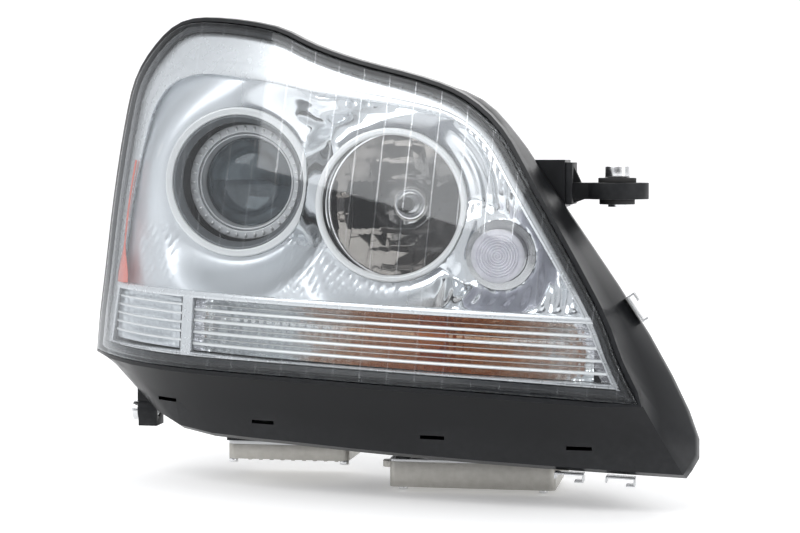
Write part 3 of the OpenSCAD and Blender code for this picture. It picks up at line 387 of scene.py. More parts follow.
def chrome(name, colour=(0.86, 0.88, 0.9), rough=0.07, ripple=0.00025, ripple_scale=38.0):
    """Vacuum-metallised plastic: slight waviness and a faint haze."""
    g = Nodes(name)
    shader = g.add("ShaderNodeBsdfPrincipled", Metallic=1.0)
    tint = g.mix(rgba(tuple(c * 0.93 for c in colour)), rgba(colour), g.noise(28.0))
    g.put(tint, shader.inputs["Base Color"])
    g.put(g.span(g.noise(220.0, 5.0), rough * 0.6, rough * 1.5), shader.inputs["Roughness"])
    waves = g.math("ADD", g.noise(ripple_scale, 1.0), g.math("MULTIPLY", g.noise(1800.0), 0.02))
    g.put(g.bump(waves, ripple), shader.inputs["Normal"])
    return g.finish(shader.outputs[0])


def panel_chrome():
    """Metallised panel: pale satin on the outer side and below the lamps, mirror bright elsewhere."""
    g = Nodes("panel_chrome")
    apart = g.add("ShaderNodeSeparateXYZ")
    g.put(g.where, apart.inputs[0])
    x, z = apart.outputs["X"], apart.outputs["Z"]

    def below(value, edge, soft, origin):
        gap = g.math("DIVIDE", g.math("SUBTRACT", (edge - origin) * MM, value), soft * MM)
        return g.math("MAXIMUM", g.math("MINIMUM", gap, 1.0), 0.0)
    outer = below(x, PROJECTOR[0] + 26, 36, EYE[0])
    low = g.math("MULTIPLY", below(z, 26, 22, EYE[2]), below(x, 22, 34, EYE[0]))
    plain = g.math("MAXIMUM", outer, low)
    shader = g.add("ShaderNodeBsdfPrincipled")
    tint = g.mix((0.8, 0.82, 0.84, 1), (0.72, 0.75, 0.78, 1), plain)
    g.put(g.mix(tint, (0.7, 0.72, 0.74, 1), g.noise(28.0)), shader.inputs["Base Color"])
    g.put(g.math("SUBTRACT", 1.0, g.math("MULTIPLY", plain, 0.35)), shader.inputs["Metallic"])
    haze = g.math("ADD", g.span(g.noise(220.0, 5.0), 0.05, 0.11), g.math("MULTIPLY", plain, 0.3))
    g.put(haze, shader.inputs["Roughness"])
    waves = g.math("ADD", g.noise(38.0, 1.0), g.math("MULTIPLY", g.noise(1800.0), 0.02))
    g.put(g.bump(waves, 0.00012), shader.inputs["Normal"])
    return g.finish(shader.outputs[0])


def cover_clear():
    """Clear polycarbonate of the cover lens, with the fine vertical flow lines of its moulding."""
    g = Nodes("cover_polycarbonate")
    clear = g.add("ShaderNodeBsdfTransparent", Color=(0.972, 0.98, 0.985, 1))
    gloss = g.add("ShaderNodeBsdfGlossy", Color=(0.93, 0.95, 0.97, 1))
    g.put(g.span(g.noise(60.0, 4.0), 0.015, 0.05), gloss.inputs["Roughness"])
    apart = g.add("ShaderNodeSeparateXYZ")
    g.put(g.where, apart.inputs[0])
    lean = g.math("MULTIPLY_ADD", apart.outputs["Z"], -0.06)
    along = g.math("ADD", apart.outputs["X"], lean)
    phase = g.math("FRACT", g.math("DIVIDE", along, 0.0215))
    line = g.math("LESS_THAN", phase, 0.016)
    faint = g.math("MULTIPLY", line, g.span(g.noise(14.0, 2.0), 0.0, 0.55))
    share = g.math("MINIMUM", g.math("ADD", g.glance(0.03), g.math("MULTIPLY", faint, 0.5)), 1.0)
    mix = g.add("ShaderNodeMixShader")
    g.put(share, mix.inputs[0])
    g.put(clear.outputs[0], mix.inputs[1])
    g.put(gloss.outputs[0], mix.inputs[2])
    return g.finish(mix.outputs[0])


def clear_part(name, tint=(0.93, 0.93, 0.97), haze=0.12, rough=0.04, milk=(0.8, 0.8, 0.86)):
    """Thin clear plastic part: mostly see-through, with some milky body and gloss."""
    g = Nodes(name)
    clear = g.add("ShaderNodeBsdfTransparent", Color=rgba(tint))
    body = g.add("ShaderNodeBsdfPrincipled", Roughness=0.35)
    g.put(rgba(milk), body.inputs["Base Color"])
    first = g.add("ShaderNodeMixShader")
    g.put(g.span(g.noise(120.0, 3.0), haze * 0.7, haze * 1.3), first.inputs[0])
    g.put(clear.outputs[0], first.inputs[1])
    g.put(body.outputs[0], first.inputs[2])
    gloss = g.add("ShaderNodeBsdfGlossy", Roughness=rough)
    second = g.add("ShaderNodeMixShader")
    g.put(g.glance(0.05), second.inputs[0])
    g.put(first.outputs[0], second.inputs[1])
    g.put(gloss.outputs[0], second.inputs[2])
    return g.finish(second.outputs[0])


def lens_glass():
    g = Nodes("projector_glass_clear")
    glass = g.add("ShaderNodeBsdfGlass", IOR=1.5, Color=(0.86, 0.9, 0.92, 1))
    g.put(g.span(g.noise(70.0, 4.0), 0.0, 0.03), glass.inputs["Roughness"])
    return g.finish(glass.outputs[0])


def chrome_painted_amber_reflection():
    """Metallised turn reflector with a painted amber reflection of the bulb in its colour, strongest towards
    its middle.
    """
    g = Nodes("turn_reflector_chrome")
    apart = g.add("ShaderNodeSeparateXYZ")
    g.put(g.where, apart.inputs[0])
    middle = (20.0 - EYE[0]) * MM
    away = g.math("ABSOLUTE", g.math("SUBTRACT", apart.outputs["X"], middle))
    near = g.math("SUBTRACT", 1.0, g.math("MINIMUM", g.math("DIVIDE", away, 0.15), 1.0))
    stretched = g.add("ShaderNodeMapping")
    g.put(g.where, stretched.inputs["Vector"])
    stretched.inputs["Scale"].default_value = (0.35, 0.35, 1.6)
    patch = g.noise(110.0, 4.0, stretched.outputs[0])
    # painted reflection: amber share of the chrome colour, strongest at the bulb's x and broken up by
    # stretched noise
    painted_amber_reflection = g.ramp(g.math("MULTIPLY", g.math("POWER", near, 0.6), g.span(patch, 0.25, 1.6)),
                    [(0.42, (0, 0, 0)), (0.72, (1, 1, 1))])
    tint = g.mix((0.82, 0.84, 0.85, 1), (0.62, 0.38, 0.24, 1), painted_amber_reflection)
    shader = g.add("ShaderNodeBsdfPrincipled", Metallic=0.9)
    g.put(tint, shader.inputs["Base Color"])
    g.put(g.span(g.noise(300.0), 0.06, 0.2), shader.inputs["Roughness"])
    g.put(g.bump(g.noise(240.0, 2.0), 0.0003), shader.inputs["Normal"])
    return g.finish(shader.outputs[0])


BLACK = solid("moulded_black_plastic", (0.008, 0.0085, 0.0095), 0.45, wear=0.3, depth=0.00003,
              worn=(0.05, 0.052, 0.056), shine=0.16)
SATIN_BLACK = solid("satin_black_skirt", (0.0075, 0.008, 0.009), 0.3, wear=0.25, depth=0.00002,
                    worn=(0.04, 0.042, 0.046), shine=0.24)
DARK_GREY = solid("dark_grey_plastic", (0.05, 0.052, 0.056), 0.45, wear=0.3)
RUBBER = solid("rubber", (0.02, 0.02, 0.02), 0.7, grain=900.0, depth=0.00006)
SILVER = solid("silver_paint", (0.72, 0.735, 0.75), 0.27, metal=0.55, grain=6000.0, depth=0.000012,
               vary=0.03, coat=0.4)
SATIN = solid("satin_silver", (0.6, 0.61, 0.62), 0.36, metal=0.5, grain=5000.0, depth=0.000012, vary=0.04)
PALE = solid("pale_satin_trim", (0.78, 0.79, 0.79), 0.3, metal=0.25, grain=5000.0, depth=0.00001, vary=0.03,
             coat=0.3)
CONE = solid("shroud_cone_grey", (0.17, 0.18, 0.19), 0.4, metal=0.5, grain=4000.0, vary=0.05)
CHROME = panel_chrome()
# high-beam chrome darkened to grey-brown: painted shade standing for the dark reflections the bowl shows
BOWL_CHROME_PAINTED_SHADE = chrome("high_beam_chrome", (0.56, 0.54, 0.52), rough=0.03, ripple=0.00006)
BRIGHT = chrome("bright_trim", (0.9, 0.9, 0.9), 0.12, ripple=0.0001)
# turn reflector chrome with the amber bulb's reflection painted into its colour
CHROME_PAINTED_AMBER_REFLECTION = chrome_painted_amber_reflection()
ALU = solid("die_cast_aluminium", (0.4, 0.385, 0.35), 0.42, metal=0.85, grain=1400.0, depth=0.00012,
            vary=0.1, wear=0.4, worn=(0.7, 0.69, 0.66))
MACHINED = solid("rolled_aluminium", (0.7, 0.71, 0.72), 0.25, metal=1.0, grain=3000.0, vary=0.06)
STEEL = solid("plated_steel", (0.68, 0.69, 0.7), 0.22, metal=1.0, grain=3500.0, vary=0.08, wear=0.3)
SPRING = solid("spring_steel", (0.56, 0.57, 0.58), 0.26, metal=1.0, grain=3500.0, vary=0.1)
WHITE = solid("white_acetal", (0.78, 0.77, 0.73), 0.38, vary=0.04, grain=2200.0)
CARRIER = solid("carrier_grey", (0.16, 0.165, 0.175), 0.45, vary=0.08, wear=0.25)
RED = clear_part("red_reflex", (0.95, 0.2, 0.12), 0.75, milk=(0.86, 0.13, 0.06))
AMBER_GLASS = clear_part("amber_bulb_glass", (0.95, 0.5, 0.12), 0.35, milk=(0.9, 0.36, 0.05))
CLEAR_GLASS = clear_part("bulb_glass", (0.95, 0.96, 0.97), 0.06)
PARK_CLEAR = clear_part("parking_prism", (0.95, 0.94, 0.98), 0.5, milk=(0.93, 0.92, 0.97))
FLUTED_CLEAR = clear_part("fluted_clear", (0.95, 0.95, 0.96), 0.1)
COVER = cover_clear()
GLASS = lens_glass()


# ------------------------------------------------------------------ cover lens and bezel

def cover_lens():
    """Clear shell: outer face, rounded shoulder, side wall and inner face."""
    centre = np.array([-60.0, 20.0])
    wall = 3.0
    parts = [0.08, 0.2, 0.32, 0.44, 0.55, 0.65, 0.74, 0.82, 0.88, 0.93, 0.965, 0.985]

    def inner(loop):
        s = np.maximum(0.0, (180.0 - loop[:, 0]) / 480.0)
        slope = (250.0 * s + 900.0 * s**9) / 480.0
        return wall * np.sqrt(1 + slope**2)

    shrunk = [centre + part * (RIM - centre) for part in parts]
    inner_rim = grow(RIM, -2.5)
    hidden = [centre + part * (inner_rim - centre) for part in parts]
    rings = [on_face(loop, 0) for loop in shrunk]
    rings += [on_face(grow(RIM, -0.9), 0), on_face(grow(RIM, -0.25), 0.3), on_face(RIM, 1.0),
              on_face(RIM, 13),
              on_face(inner_rim, 13), on_face(inner_rim, inner(inner_rim) + 1.2)]
    rings += [on_face(loop, inner(loop)) for loop in reversed(hidden)]
    n, m = len(RIM), len(rings)
    points = np.vstack(rings + [on_face(centre[None], 0), on_face(centre[None], wall + 0.2)])
    faces = grid_faces(m, n, False, True)
    for j in range(n):
        k = (j + 1) % n
        faces += [(n * m, k, j), ((m - 1) * n + j, (m - 1) * n + k, n * m + 1)]
    return piece("cover_lens", points, faces, COVER, stands_for=["outer_lens"], slot="clear_cover", sharp=50)


def bezel_frame():
    """Silver surround: rounded outer edge, a crease, and a wall turned in around the opening."""
    edge = grow(RIM, -7.5)
    profile = [(0.0, 10.0), (0.0, 1.2), (0.02, 0.35), (0.07, 0.0), (0.3, 0.0), (0.345, 0.45), (0.38, 0.55),
               (0.86, 0.75), (0.95, 1.3), (0.985, 2.0), (1.0, 3.0), (1.0, 9.0)]
    inner_edge = grow(BEZEL_OPEN, 1.6)
    outer_back = grow(RIM, -9.1)
    rings = []
    for t, h in profile:
        rings.append(on_face(BEZEL_OPEN + t * (edge - BEZEL_OPEN), BEZEL_BACK + h))
    rings += [on_face(outer_back, BEZEL_BACK + 9), on_face(outer_back, BEZEL_BACK + 4),
              on_face(inner_edge, BEZEL_BACK + 2.6), on_face(inner_edge, BEZEL_BACK + 10)]
    hoop("bezel_surround", rings, SILVER, stands_for=["bezel_frame"], slot="silver_paint", sharp=40)


def bar_profile(width):
    """Rounded front of a bezel bar: share of its width, and height above its back."""
    r = min(1.4, width / 3) / width
    return [(0.0, 9.0), (0.0, 1.4), (r * 0.3, 0.4), (r, 0.0), (0.5, -0.25), (1 - r, 0.0),
            (1 - r * 0.3, 0.4), (1.0, 1.4), (1.0, 9.0)]


def bezel_bars():
    """Horizontal bar above the turn lamp and the divider between its windows."""
    xs = np.linspace(-262.5, 147.5, 90)
    rows = []
    for t, h in bar_profile(6.0):
        z = turn_top(xs) + t * (bar_top(xs) - turn_top(xs))
        rows.append(np.column_stack([xs, face_y(xs, z) + BEZEL_BACK + h, z]))
    sheet_between("bezel_bar", rows, SILVER)
    zs = np.linspace(0, 1, 30)
    rows = []
    for t, h in bar_profile(10.5):
        x = -187 + 10.5 * t + 0 * zs
        z = turn_bottom(x) - 3 + zs * (turn_top(x) - turn_bottom(x) + 4)
        rows.append(np.column_stack([x, face_y(x, z) + BEZEL_BACK + h + 0.15, z]))
    sheet_between("bezel_divider", rows, SILVER)


def sheet_between(name, rows, look, **extra):
    """Closed bar from profile rows: the profile is closed across its back."""
    m, n = len(rows), len(rows[0])
    faces = grid_faces(m, n, True, False)
    faces.append(tuple(i * n for i in range(m)))
    faces.append(tuple(i * n + n - 1 for i in reversed(range(m))))
    return piece(name, np.vstack(rows), faces, look, **extra)


# ------------------------------------------------------------------ chrome panel

def close_to(x, z, at, r, reach):
    return 1 - ease((np.hypot(x - at[0], z - at[1]) - r) / reach)


def ripples(x, z):
    """Sculpted relief of the panel: swept ribs, scoops and reflector flutes."""
    y = np.zeros_like(x)
    ring = np.hypot(x - BEAM_RING[0], z - BEAM_RING[1]) - RING_R
    inboard = ease((x - 30) / 25)
    # shell-like folds that follow the high beam ring on its inboard side
    folds = np.sin(ring * 0.62 + 0.035 * (z - 20) + 0.7 * np.sin(z * 0.06))
    y += 2.2 * folds * inboard * ease(ring / 6) * ease((70 - ring) / 40)
    # upright flutes below the ring and the parking lamp
    low = ease((12 - z) / 26) * ease((x - 18) / 16)
    y += 1.5 * np.sin(x * 0.52 + 1.6 * np.sin(z * 0.09)) * low
    # swept scoop over the space between the two main lamps
    across = (x + 62) * 0.94 + (z - 112) * 0.34
    down = -(x + 62) * 0.34 + (z - 112) * 0.94
    scoop = np.exp(-(across / 30)**2 - (down / 13)**2)
    around = np.exp(-(across / 42)**2 - (down / 22)**2)
    y += 9.0 * scoop + 1.8 * np.sin(across * 0.22 + down * 0.33) * around
    valley = np.exp(-((x + 78 - 0.18 * (z - 60)) / 9)**2) * ease((118 - z) / 20) * ease((z - 8) / 26)
    y += 2.5 * valley
    return y


def dashes(x, z):
    """Rows of short slanting flutes under the two main lamps."""
    slant = (x * 0.62 + z * 0.78)
    along = (x * 0.78 - z * 0.62)
    zone = ease((24 - z) / 8) * ease((z + 30) / 5) * ease((x + 118) / 14) * ease((8 - x) / 20)
    left = ease((32 - z) / 8) * ease((z + 28) / 5) * ease((-196 - x) / 10) * ease((x + 246) / 12)
    step = np.abs(((along / 6.2) % 1.0) - 0.5) * 2
    broken = np.sin(slant * 0.55 + np.floor(along / 6.2) * 2.1)
    return 1.3 * ease((step - 0.62) / 0.3) * ease((broken + 0.35) / 0.5) * np.maximum(zone, left * 0.8)


def panel_y(x, z):
    base = face_y(x, z) + PANEL_BACK
    a = close_to(x, z, PROJECTOR, SHROUD_R + 2, 36)
    b = close_to(x, z, BEAM_RING, RING_R + 2, 34)
    c = close_to(x, z, PARK, PARK_BASE_R + 1, 22)
    lamps = (a * (SHROUD_Y + 4 - base) + b * (RING_Y + 4 - base) + c * (PARK_Y + 18 - base))
    plain = base + lamps / np.maximum(1, a + b + c)
    free = (1 - a)**0.5 * (1 - b)**0.5 * (1 - c)**0.5
    border = ease(edge_distance(x, z) / 7)
    return plain + (ripples(x, z) * np.maximum(free, 0.12) + dashes(x, z)) * border


def edge_distance(x, z):
    """Distance inside the bezel opening, by the nearest outline point."""
    pts = np.column_stack([np.ravel(x), np.ravel(z)])
    gaps = np.full(len(pts), 1e9)
    for p in BEZEL_OPEN[::2]:
        gaps = np.minimum(gaps, np.hypot(pts[:, 0] - p[0], pts[:, 1] - p[1]))
    gaps = np.minimum(gaps, np.abs(pts[:, 1] - bar_top(pts[:, 0])))
    return gaps.reshape(np.shape(x))


def inside(pts, loop):
    """Which points are inside a closed loop."""
    x, z = pts[:, 0][:, None], pts[:, 1][:, None]
    x0, z0 = loop[:, 0], loop[:, 1]
    x1, z1 = np.roll(x0, -1), np.roll(z0, -1)
    crosses = ((z0 > z) != (z1 > z)) & (x < (x1 - x0) * (z - z0) / (z1 - z0 + 1e-12) + x0)
    return crosses.sum(1) % 2 == 1


def circle(at, r, n):
    a = np.arange(n) * 2 * math.pi / n
    return np.column_stack([at[0] + r * np.cos(a), at[1] + r * np.sin(a)])


def chrome_panel():
    """Sculpted panel inside the bezel, open at the three lamps and above the turn lamp."""
    pitch = 1.5
    edge = grow(BEZEL_OPEN, 1.0)
    upper = edge[edge[:, 1] > bar_top(edge[:, 0]) + 1]
    upper = upper[np.argsort(np.arctan2(upper[:, 1] - 20, upper[:, 0] + 60))]
    foot_x = np.linspace(-262, 142, 140)
    foot = np.column_stack([foot_x, bar_top(foot_x) - 2.0])
    loop = np.vstack([foot, sorted_run(upper)])
    lamps = [(PROJECTOR, SHROUD_R), (BEAM_RING, RING_R), (PARK, PARK_BASE_R)]
    holes = [circle(at, r + 0.4, n) for (at, r), n in zip(lamps, [120, 120, 72])]
    gx, gz = np.meshgrid(np.arange(-266, 148, pitch), np.arange(-40, 156, pitch))
    gx = gx + (np.arange(gx.shape[0])[:, None] % 2) * pitch / 2
    inner = np.column_stack([gx.ravel(), gz.ravel()])
    keep = inside(inner, grow_in(loop, 1.0))
    for at, r in lamps:
        keep &= np.hypot(inner[:, 0] - at[0], inner[:, 1] - at[1]) > r + 1.3
    inner = inner[keep]
    verts, edges = [], []
    for ring in [loop] + holes:
        first = len(verts)
        verts += [tuple(p) for p in ring]
        edges += [(first + i, first + (i + 1) % len(ring)) for i in range(len(ring))]
    verts += [tuple(p) for p in inner]
    got = delaunay_2d_cdt([Vector(v) for v in verts], edges, [], 0, 1e-5, False)
    flat = np.array([tuple(v) for v in got[0]])
    tris = np.array([tuple(f) for f in got[2]])
    middle = flat[tris].mean(1)
    good = inside(middle, loop)
    for at, r in lamps:
        good &= np.hypot(middle[:, 0] - at[0], middle[:, 1] - at[1]) > r + 0.3
    tris = [tuple(int(i) for i in t) for t in tris[good]]
    points = np.column_stack([flat[:, 0], panel_y(flat[:, 0], flat[:, 1]), flat[:, 1]])
    used = sorted(set(i for t in tris for i in t))
    place = {old: new for new, old in enumerate(used)}
    tris = [tuple(place[i] for i in t) for t in tris]
    points, faces = thick(points[used], tris, (0, 2.2, 0))
    piece("chrome_panel_sculpted", points, faces, CHROME, stands_for=["chrome_panel"], slot="chrome_coat",
          sharp=60)


def sorted_run(pts):
    """Outline points in order, from the inboard end over the top to the outer end."""
    a = np.arctan2(pts[:, 1] - 20, pts[:, 0] + 60)
    a = np.where(a < -math.pi / 2, a + 2 * math.pi, a)
    return pts[np.argsort(a)]


def grow_in(loop, d):
    centre = loop.mean(0)
    away = loop - centre
    size = np.linalg.norm(away, axis=1)[:, None]
    return centre + away * (1 - d / size)


# ------------------------------------------------------------------ lamps

def projector_trim():
    """Shroud around the projector: satin front band, grey cone and dark throat."""
    r, y = SHROUD_R, SHROUD_Y
    turned("shroud_band", PROJECTOR, [(54.2, y + 1.2), (55.0, y), (r - 0.8, y), (r, y + 1.4), (r, y + 12),
                                      (r - 2, y + 12), (r - 2, y + 4), (54.2, y + 4)],
           PALE, radius=0.9, stands_for=["projector_shroud"], slot="silver_paint")
    turned("shroud_cone", PROJECTOR, [(54.1, y + 1.6), (54.1, y + 3.4), (50.2, y + 11.0), (48.6, y + 11),
                                      (48.6, y + 8.2), (52.6, y + 1.6)], CONE, radius=0.5)


def dot_ring():
    """Bright ring around the glass with its 36 raised studs."""
    low, high = lamp_box("lens_ring")
    front = low[1] + 1.2
    turned("lens_trim_ring", PROJECTOR,
           [(40.4, front + 0.6), (41.0, front), (46.8, front), (47.2, front + 0.5), (47.2, front + 4),
            (42.0, high[1] - 2.4), (39.8, high[1]), (GLASS_R, high[1]), (GLASS_R, high[1] - 2.6),
            (38.2, front + 5.6), (38.0, front + 2.4), (39.4, front + 2.2), (40.2, front + 4.2)],
           SATIN, radius=0.5, body="projector", stands_for=["lens_ring"], slot="chrome_coat")
    points, faces = [], []
    for k in range(36):
        a = math.radians(10 * k)
        out, side = np.array([math.cos(a), math.sin(a)]), np.array([-math.sin(a), math.cos(a)])
        base = len(points)
        rows, cols = 6, 16
        for i in range(rows):
            tilt = math.pi / 2 * i / (rows - 1)
            for j in range(cols):
                b = 2 * math.pi * j / cols
                u, v = 2.1 * math.cos(b) * math.cos(tilt), 1.35 * math.sin(b) * math.cos(tilt)
                at = PROJECTOR + (43.9 + u) * out + v * side
                points.append((at[0], front + 0.1 - 1.9 * math.sin(tilt), at[1]))
        faces += [tuple(base + i for i in f) for f in grid_faces(rows, cols, False, True)]
        faces.append(tuple(base + j for j in reversed(range(cols))))
    piece("lens_ring_studs", points, faces, PALE, body="projector", slot="chrome_coat", sharp=60)


def projector_glass():
    low, high = lamp_box("projector_glass")
    r, dome = GLASS_R, 64.5
    q = np.linspace(0, r - 1.6, 26)
    arc = [(v, low[1] + dome - math.sqrt(dome * dome - v * v)) for v in q]
    edge = arc[-1][1]
    profile = np.array(arc + [(r - 0.4, edge + 0.5), (r, edge + 1.4), (r, edge + 3.6), (r - 0.3, edge + 4),
                              (r - 2, edge + 4), (r - 2, high[1] - 0.3), (r - 2.4, high[1]), (0, high[1])])
    points = turned_points(PROJECTOR, profile, 160)
    piece("projector_lens", points.reshape(-1, 3), grid_faces(len(profile), 160, True, True), GLASS,
          body="projector", stands_for=["projector_glass"], slot="clear_glass", sharp=40)


def beam_ring():
    """Bright trim ring around the high beam and the dark sleeve inside it."""
    r, y = RING_R, RING_Y
    turned("beam_trim_ring", BEAM_RING, [(54.0, y + 2.4), (55.3, y + 0.2), (57.0, y), (58.8, y + 0.3),
                                         (r, y + 2.2), (r, y + 14), (57.6, y + 14), (57.6, y + 4.5),
                                         (54.0, y + 4.4)],
           PALE, radius=0.8, n=180, stands_for=["high_beam_ring"], slot="silver_paint")
    turned("beam_ring_lip", BEAM_RING, [(54.3, y + 3.6), (57.3, y + 4.8), (57.3, y + 13.8), (56.4, y + 13.8),
                                        (56.0, y + 6.4), (54.3, y + 5)], CONE, radius=0.4, n=180)


def beam_bowl():
    """Free-form reflector: upright facets stepped against one another, with a bright lip."""
    focal, vertex = 16.25, 108.0
    rim_r = 2 * math.sqrt(focal * (vertex - BOWL_Y - 2))
    cuts = [-1.0, -0.74, -0.5, -0.3, -0.1, 0.1, 0.3, 0.5, 0.74, 1.0]
    points, faces = [], []
    for c0, c1 in zip(cuts, cuts[1:]):
        middle = (c0 + c1) / 2 * rim_r
        us = np.linspace(c0, c1, 13) * rim_r * 0.9999
        lean = 0.86
        vs = np.linspace(-1, 1, 61)
        base = len(points)
        for u in us:
            reach = math.sqrt(max(rim_r**2 - u * u, 0.0))
            z = vs * reach
            bent = middle + (u - middle) * lean
            facet_z = np.round(z / 14) * 14 * 0.06 + z * 0.94
            depth = vertex - (bent**2 + facet_z**2) / (4 * focal)
            fade = ease((rim_r - np.hypot(u, z)) / 5)
            plain = vertex - (u * u + z * z) / (4 * focal)
            y = plain + (depth - plain) * fade
            y = np.where(np.hypot(u, z) < 10.6, 107.0, y)
            points += list(np.column_stack([BEAM[0] + u + 0 * z, y, BEAM[1] + z]))
        faces += [tuple(base + i for i in f) for f in grid_faces(len(us), len(vs))]
    joined, closed = thick(points, faces, (0, 1.8, 0))
    piece("beam_reflector_facets", joined, closed, BOWL_CHROME_PAINTED_SHADE, body="carrier",
          stands_for=["high_beam_reflector"], slot="chrome_coat", sharp=20)
    turned("beam_reflector_lip", BEAM, [(rim_r - 1.6, BOWL_Y + 3.4), (rim_r - 1.2, BOWL_Y + 0.6),
                                        (rim_r, BOWL_Y), (59.2, BOWL_Y + 0.4), (59.8, BOWL_Y + 1.4),
                                        (59.8, BOWL_Y + 4), (rim_r + 0.4, BOWL_Y + 4.2)],
           BRIGHT, radius=0.6, n=160, body="carrier", slot="chrome_coat")
    turned("beam_bulb_collar", BEAM, [(8.2, 103.0), (12.2, 103.0), (13.6, 104.6), (13.6, 110), (10.4, 113.8),
                                      (8.2, 113.8)], BRIGHT, radius=0.7, n=72, body="carrier")


def beam_bulb():
    """Halogen capsule: clear glass tube with a black tip, coil and metal base."""
    low, high = lamp_box("high_beam_bulb")
    tip, seat = low[1], low[1] + 31
    tube = [(0, tip + 1.0), (2.2, tip + 1.2), (4.6, tip + 2.6), (5.8, tip + 6), (5.8, seat), (4.9, seat),
            (4.9, tip + 6.4), (3.6, tip + 3.8), (0, tip + 2.6)]
    turned("beam_bulb_glass", BEAM, tube, CLEAR_GLASS, radius=0.6, n=48, body="carrier",
           stands_for=["high_beam_bulb"], slot="clear_glass")
    turned("beam_bulb_cap", BEAM, [(0, tip), (2.6, tip + 0.2), (5.2, tip + 1.8), (6.15, tip + 5.2),
                                   (6.15, tip + 10.6),
                                   (5.9, tip + 10.6), (5.9, tip + 5.4), (0, tip + 0.8)], BLACK, radius=0.5,
           n=48, body="carrier")
    turned("beam_bulb_base", BEAM, [(0, seat - 1), (6.8, seat - 1), (7.6, seat), (8.0, seat + 8),
                                    (13.5, seat + 9.2), (13.5, seat + 11), (0, seat + 11)],
           STEEL, radius=0.4, n=64, body="carrier")
    helix = [(0.9 * math.cos(a), tip + 15 + 0.55 * a / math.pi, 0.9 * math.sin(a))
             for a in np.linspace(0, 18 * math.pi, 160)]
    coil = [(BEAM[0] + p[0], p[1], BEAM[1] + p[2]) for p in helix]
    tube_along("beam_bulb_coil", coil, 0.16, STEEL, "carrier", 8)
    box_piece("beam_bulb_socket", (BEAM[0] - 8, seat + 10.8, BEAM[1] - 5),
              (BEAM[0] + 8, high[1], BEAM[1] + 5), DARK_GREY,
              "carrier", 1.2)


def tube_along(name, path, r, look, body, sides=12, **extra):
    """Round tube swept along a path."""
    path = np.array(path, float)
    tangents = np.gradient(path, axis=0)
    tangents /= np.linalg.norm(tangents, axis=1)[:, None]
    up = np.array([0.0, 0.0, 1.0]) if abs(tangents[0][2]) < 0.9 else np.array([1.0, 0.0, 0.0])
    rings = []
    side = np.cross(tangents[0], up)
    for p, t in zip(path, tangents):
        side = side - t * (side @ t)
        side /= np.linalg.norm(side)
        other = np.cross(t, side)
        a = np.arange(sides) * 2 * math.pi / sides
        rings.append(p + r * (np.cos(a)[:, None] * side + np.sin(a)[:, None] * other))
    faces = grid_faces(len(rings), sides, False, True)
    faces += [tuple(reversed(range(sides))), tuple((len(rings) - 1) * sides + j for j in range(sides))]
    return piece(name, np.vstack(rings), faces, look, body=body, sharp=50, **extra)


def box_piece(name, low, high, look, body=ROOT, radius=1.0, **extra):
    """Block with rounded edges."""
    low, high = np.array(low, float), np.array(high, float)
    bm = bmesh.new()
    bmesh.ops.create_cube(bm, size=1.0)
    for v in bm.verts:
        v.co = Vector((low + high) / 2 + np.array(v.co) * (high - low))
    bmesh.ops.bevel(bm, geom=list(bm.edges), offset=radius, segments=3, profile=0.5, affect="EDGES")
    points = [tuple(v.co) for v in bm.verts]
    faces = [tuple(v.index for v in f.verts) for f in bm.faces]
    bm.free()
    return piece(name, points, faces, look, body=body, sharp=35, **extra)


def parking_lamp():
    """Round prism lens with concentric rings, over a small bowl."""
    r, y = PARK_R, PARK_Y
    face = [(0.01, y + 0.2)]
    for k in range(1, 9):
        face += [(k * 2.05 - 1.35, y - 0.1), (k * 2.05 - 0.55, y + 1.15), (k * 2.05, y + 0.25)]
    face += [(r - 1.6, y + 0.1), (r - 0.5, y + 0.5), (r, y + 1.6), (r, y + 21), (r - 1.8, y + 21),
             (r - 2, y + 3.4),
             (0.01, y + 3.4)]
    profile = np.array(face)
    profile[:, 1] = np.maximum(profile[:, 1], y)
    points = turned_points(PARK, profile, 120)
    piece("parking_prism_lens", points.reshape(-1, 3), grid_faces(len(profile), 120, True, True), PARK_CLEAR,
          stands_for=["parking_lens"], slot="clear_glass", sharp=24)


def turn_lamp(name, node, x0, x1, depth, look, flute, stands_for):
    """Fluted trough behind the turn window."""
    nu, nv = int((x1 - x0) / 0.9), 44
    us, vs = np.linspace(x0, x1, nu), np.linspace(0, 1, nv)
    x, v = np.meshgrid(us, vs, indexing="ij")
    z = turn_bottom(x) + 0.8 + v * (turn_top(x) - turn_bottom(x) - 1.6)
    bowl = 1 - (2 * v - 1)**2
    ends = ease((x - x0) / 30) * ease((x1 - x) / 30)
    y = face_y(x, z) + 23 + depth * bowl * ends
    y -= flute * np.abs(np.sin(math.pi * x / 7.2)) * ease(bowl * 6)
    y -= 0.6 * flute * np.abs(np.sin(math.pi * (z - turn_bottom(x)) / 5.2)) * ease(bowl * 6)
    sheet(name, np.stack([x, y, z], -1), (0, 2, 0), look, stands_for=stands_for, slot="chrome_coat", sharp=45)


def rib(name, drop, x0, x1, half, look, reach=4.6, back=17.6, **extra):
    """Horizontal rib with a rounded front edge, across a turn window."""
    xs = np.linspace(x0, x1, 60)
    centre = turn_top(xs) - drop
    rows = []
    for dz, dy in [(-half, reach), (-half, 1.0), (-half * 0.7, 0.3), (0, 0.0), (half * 0.7, 0.3), (half, 1.0),
                   (half, reach)]:
        z = centre + dz
        rows.append(np.column_stack([xs, face_y(xs, z) + back + dy, z]))
    return sheet_between(name, rows, look, **extra)


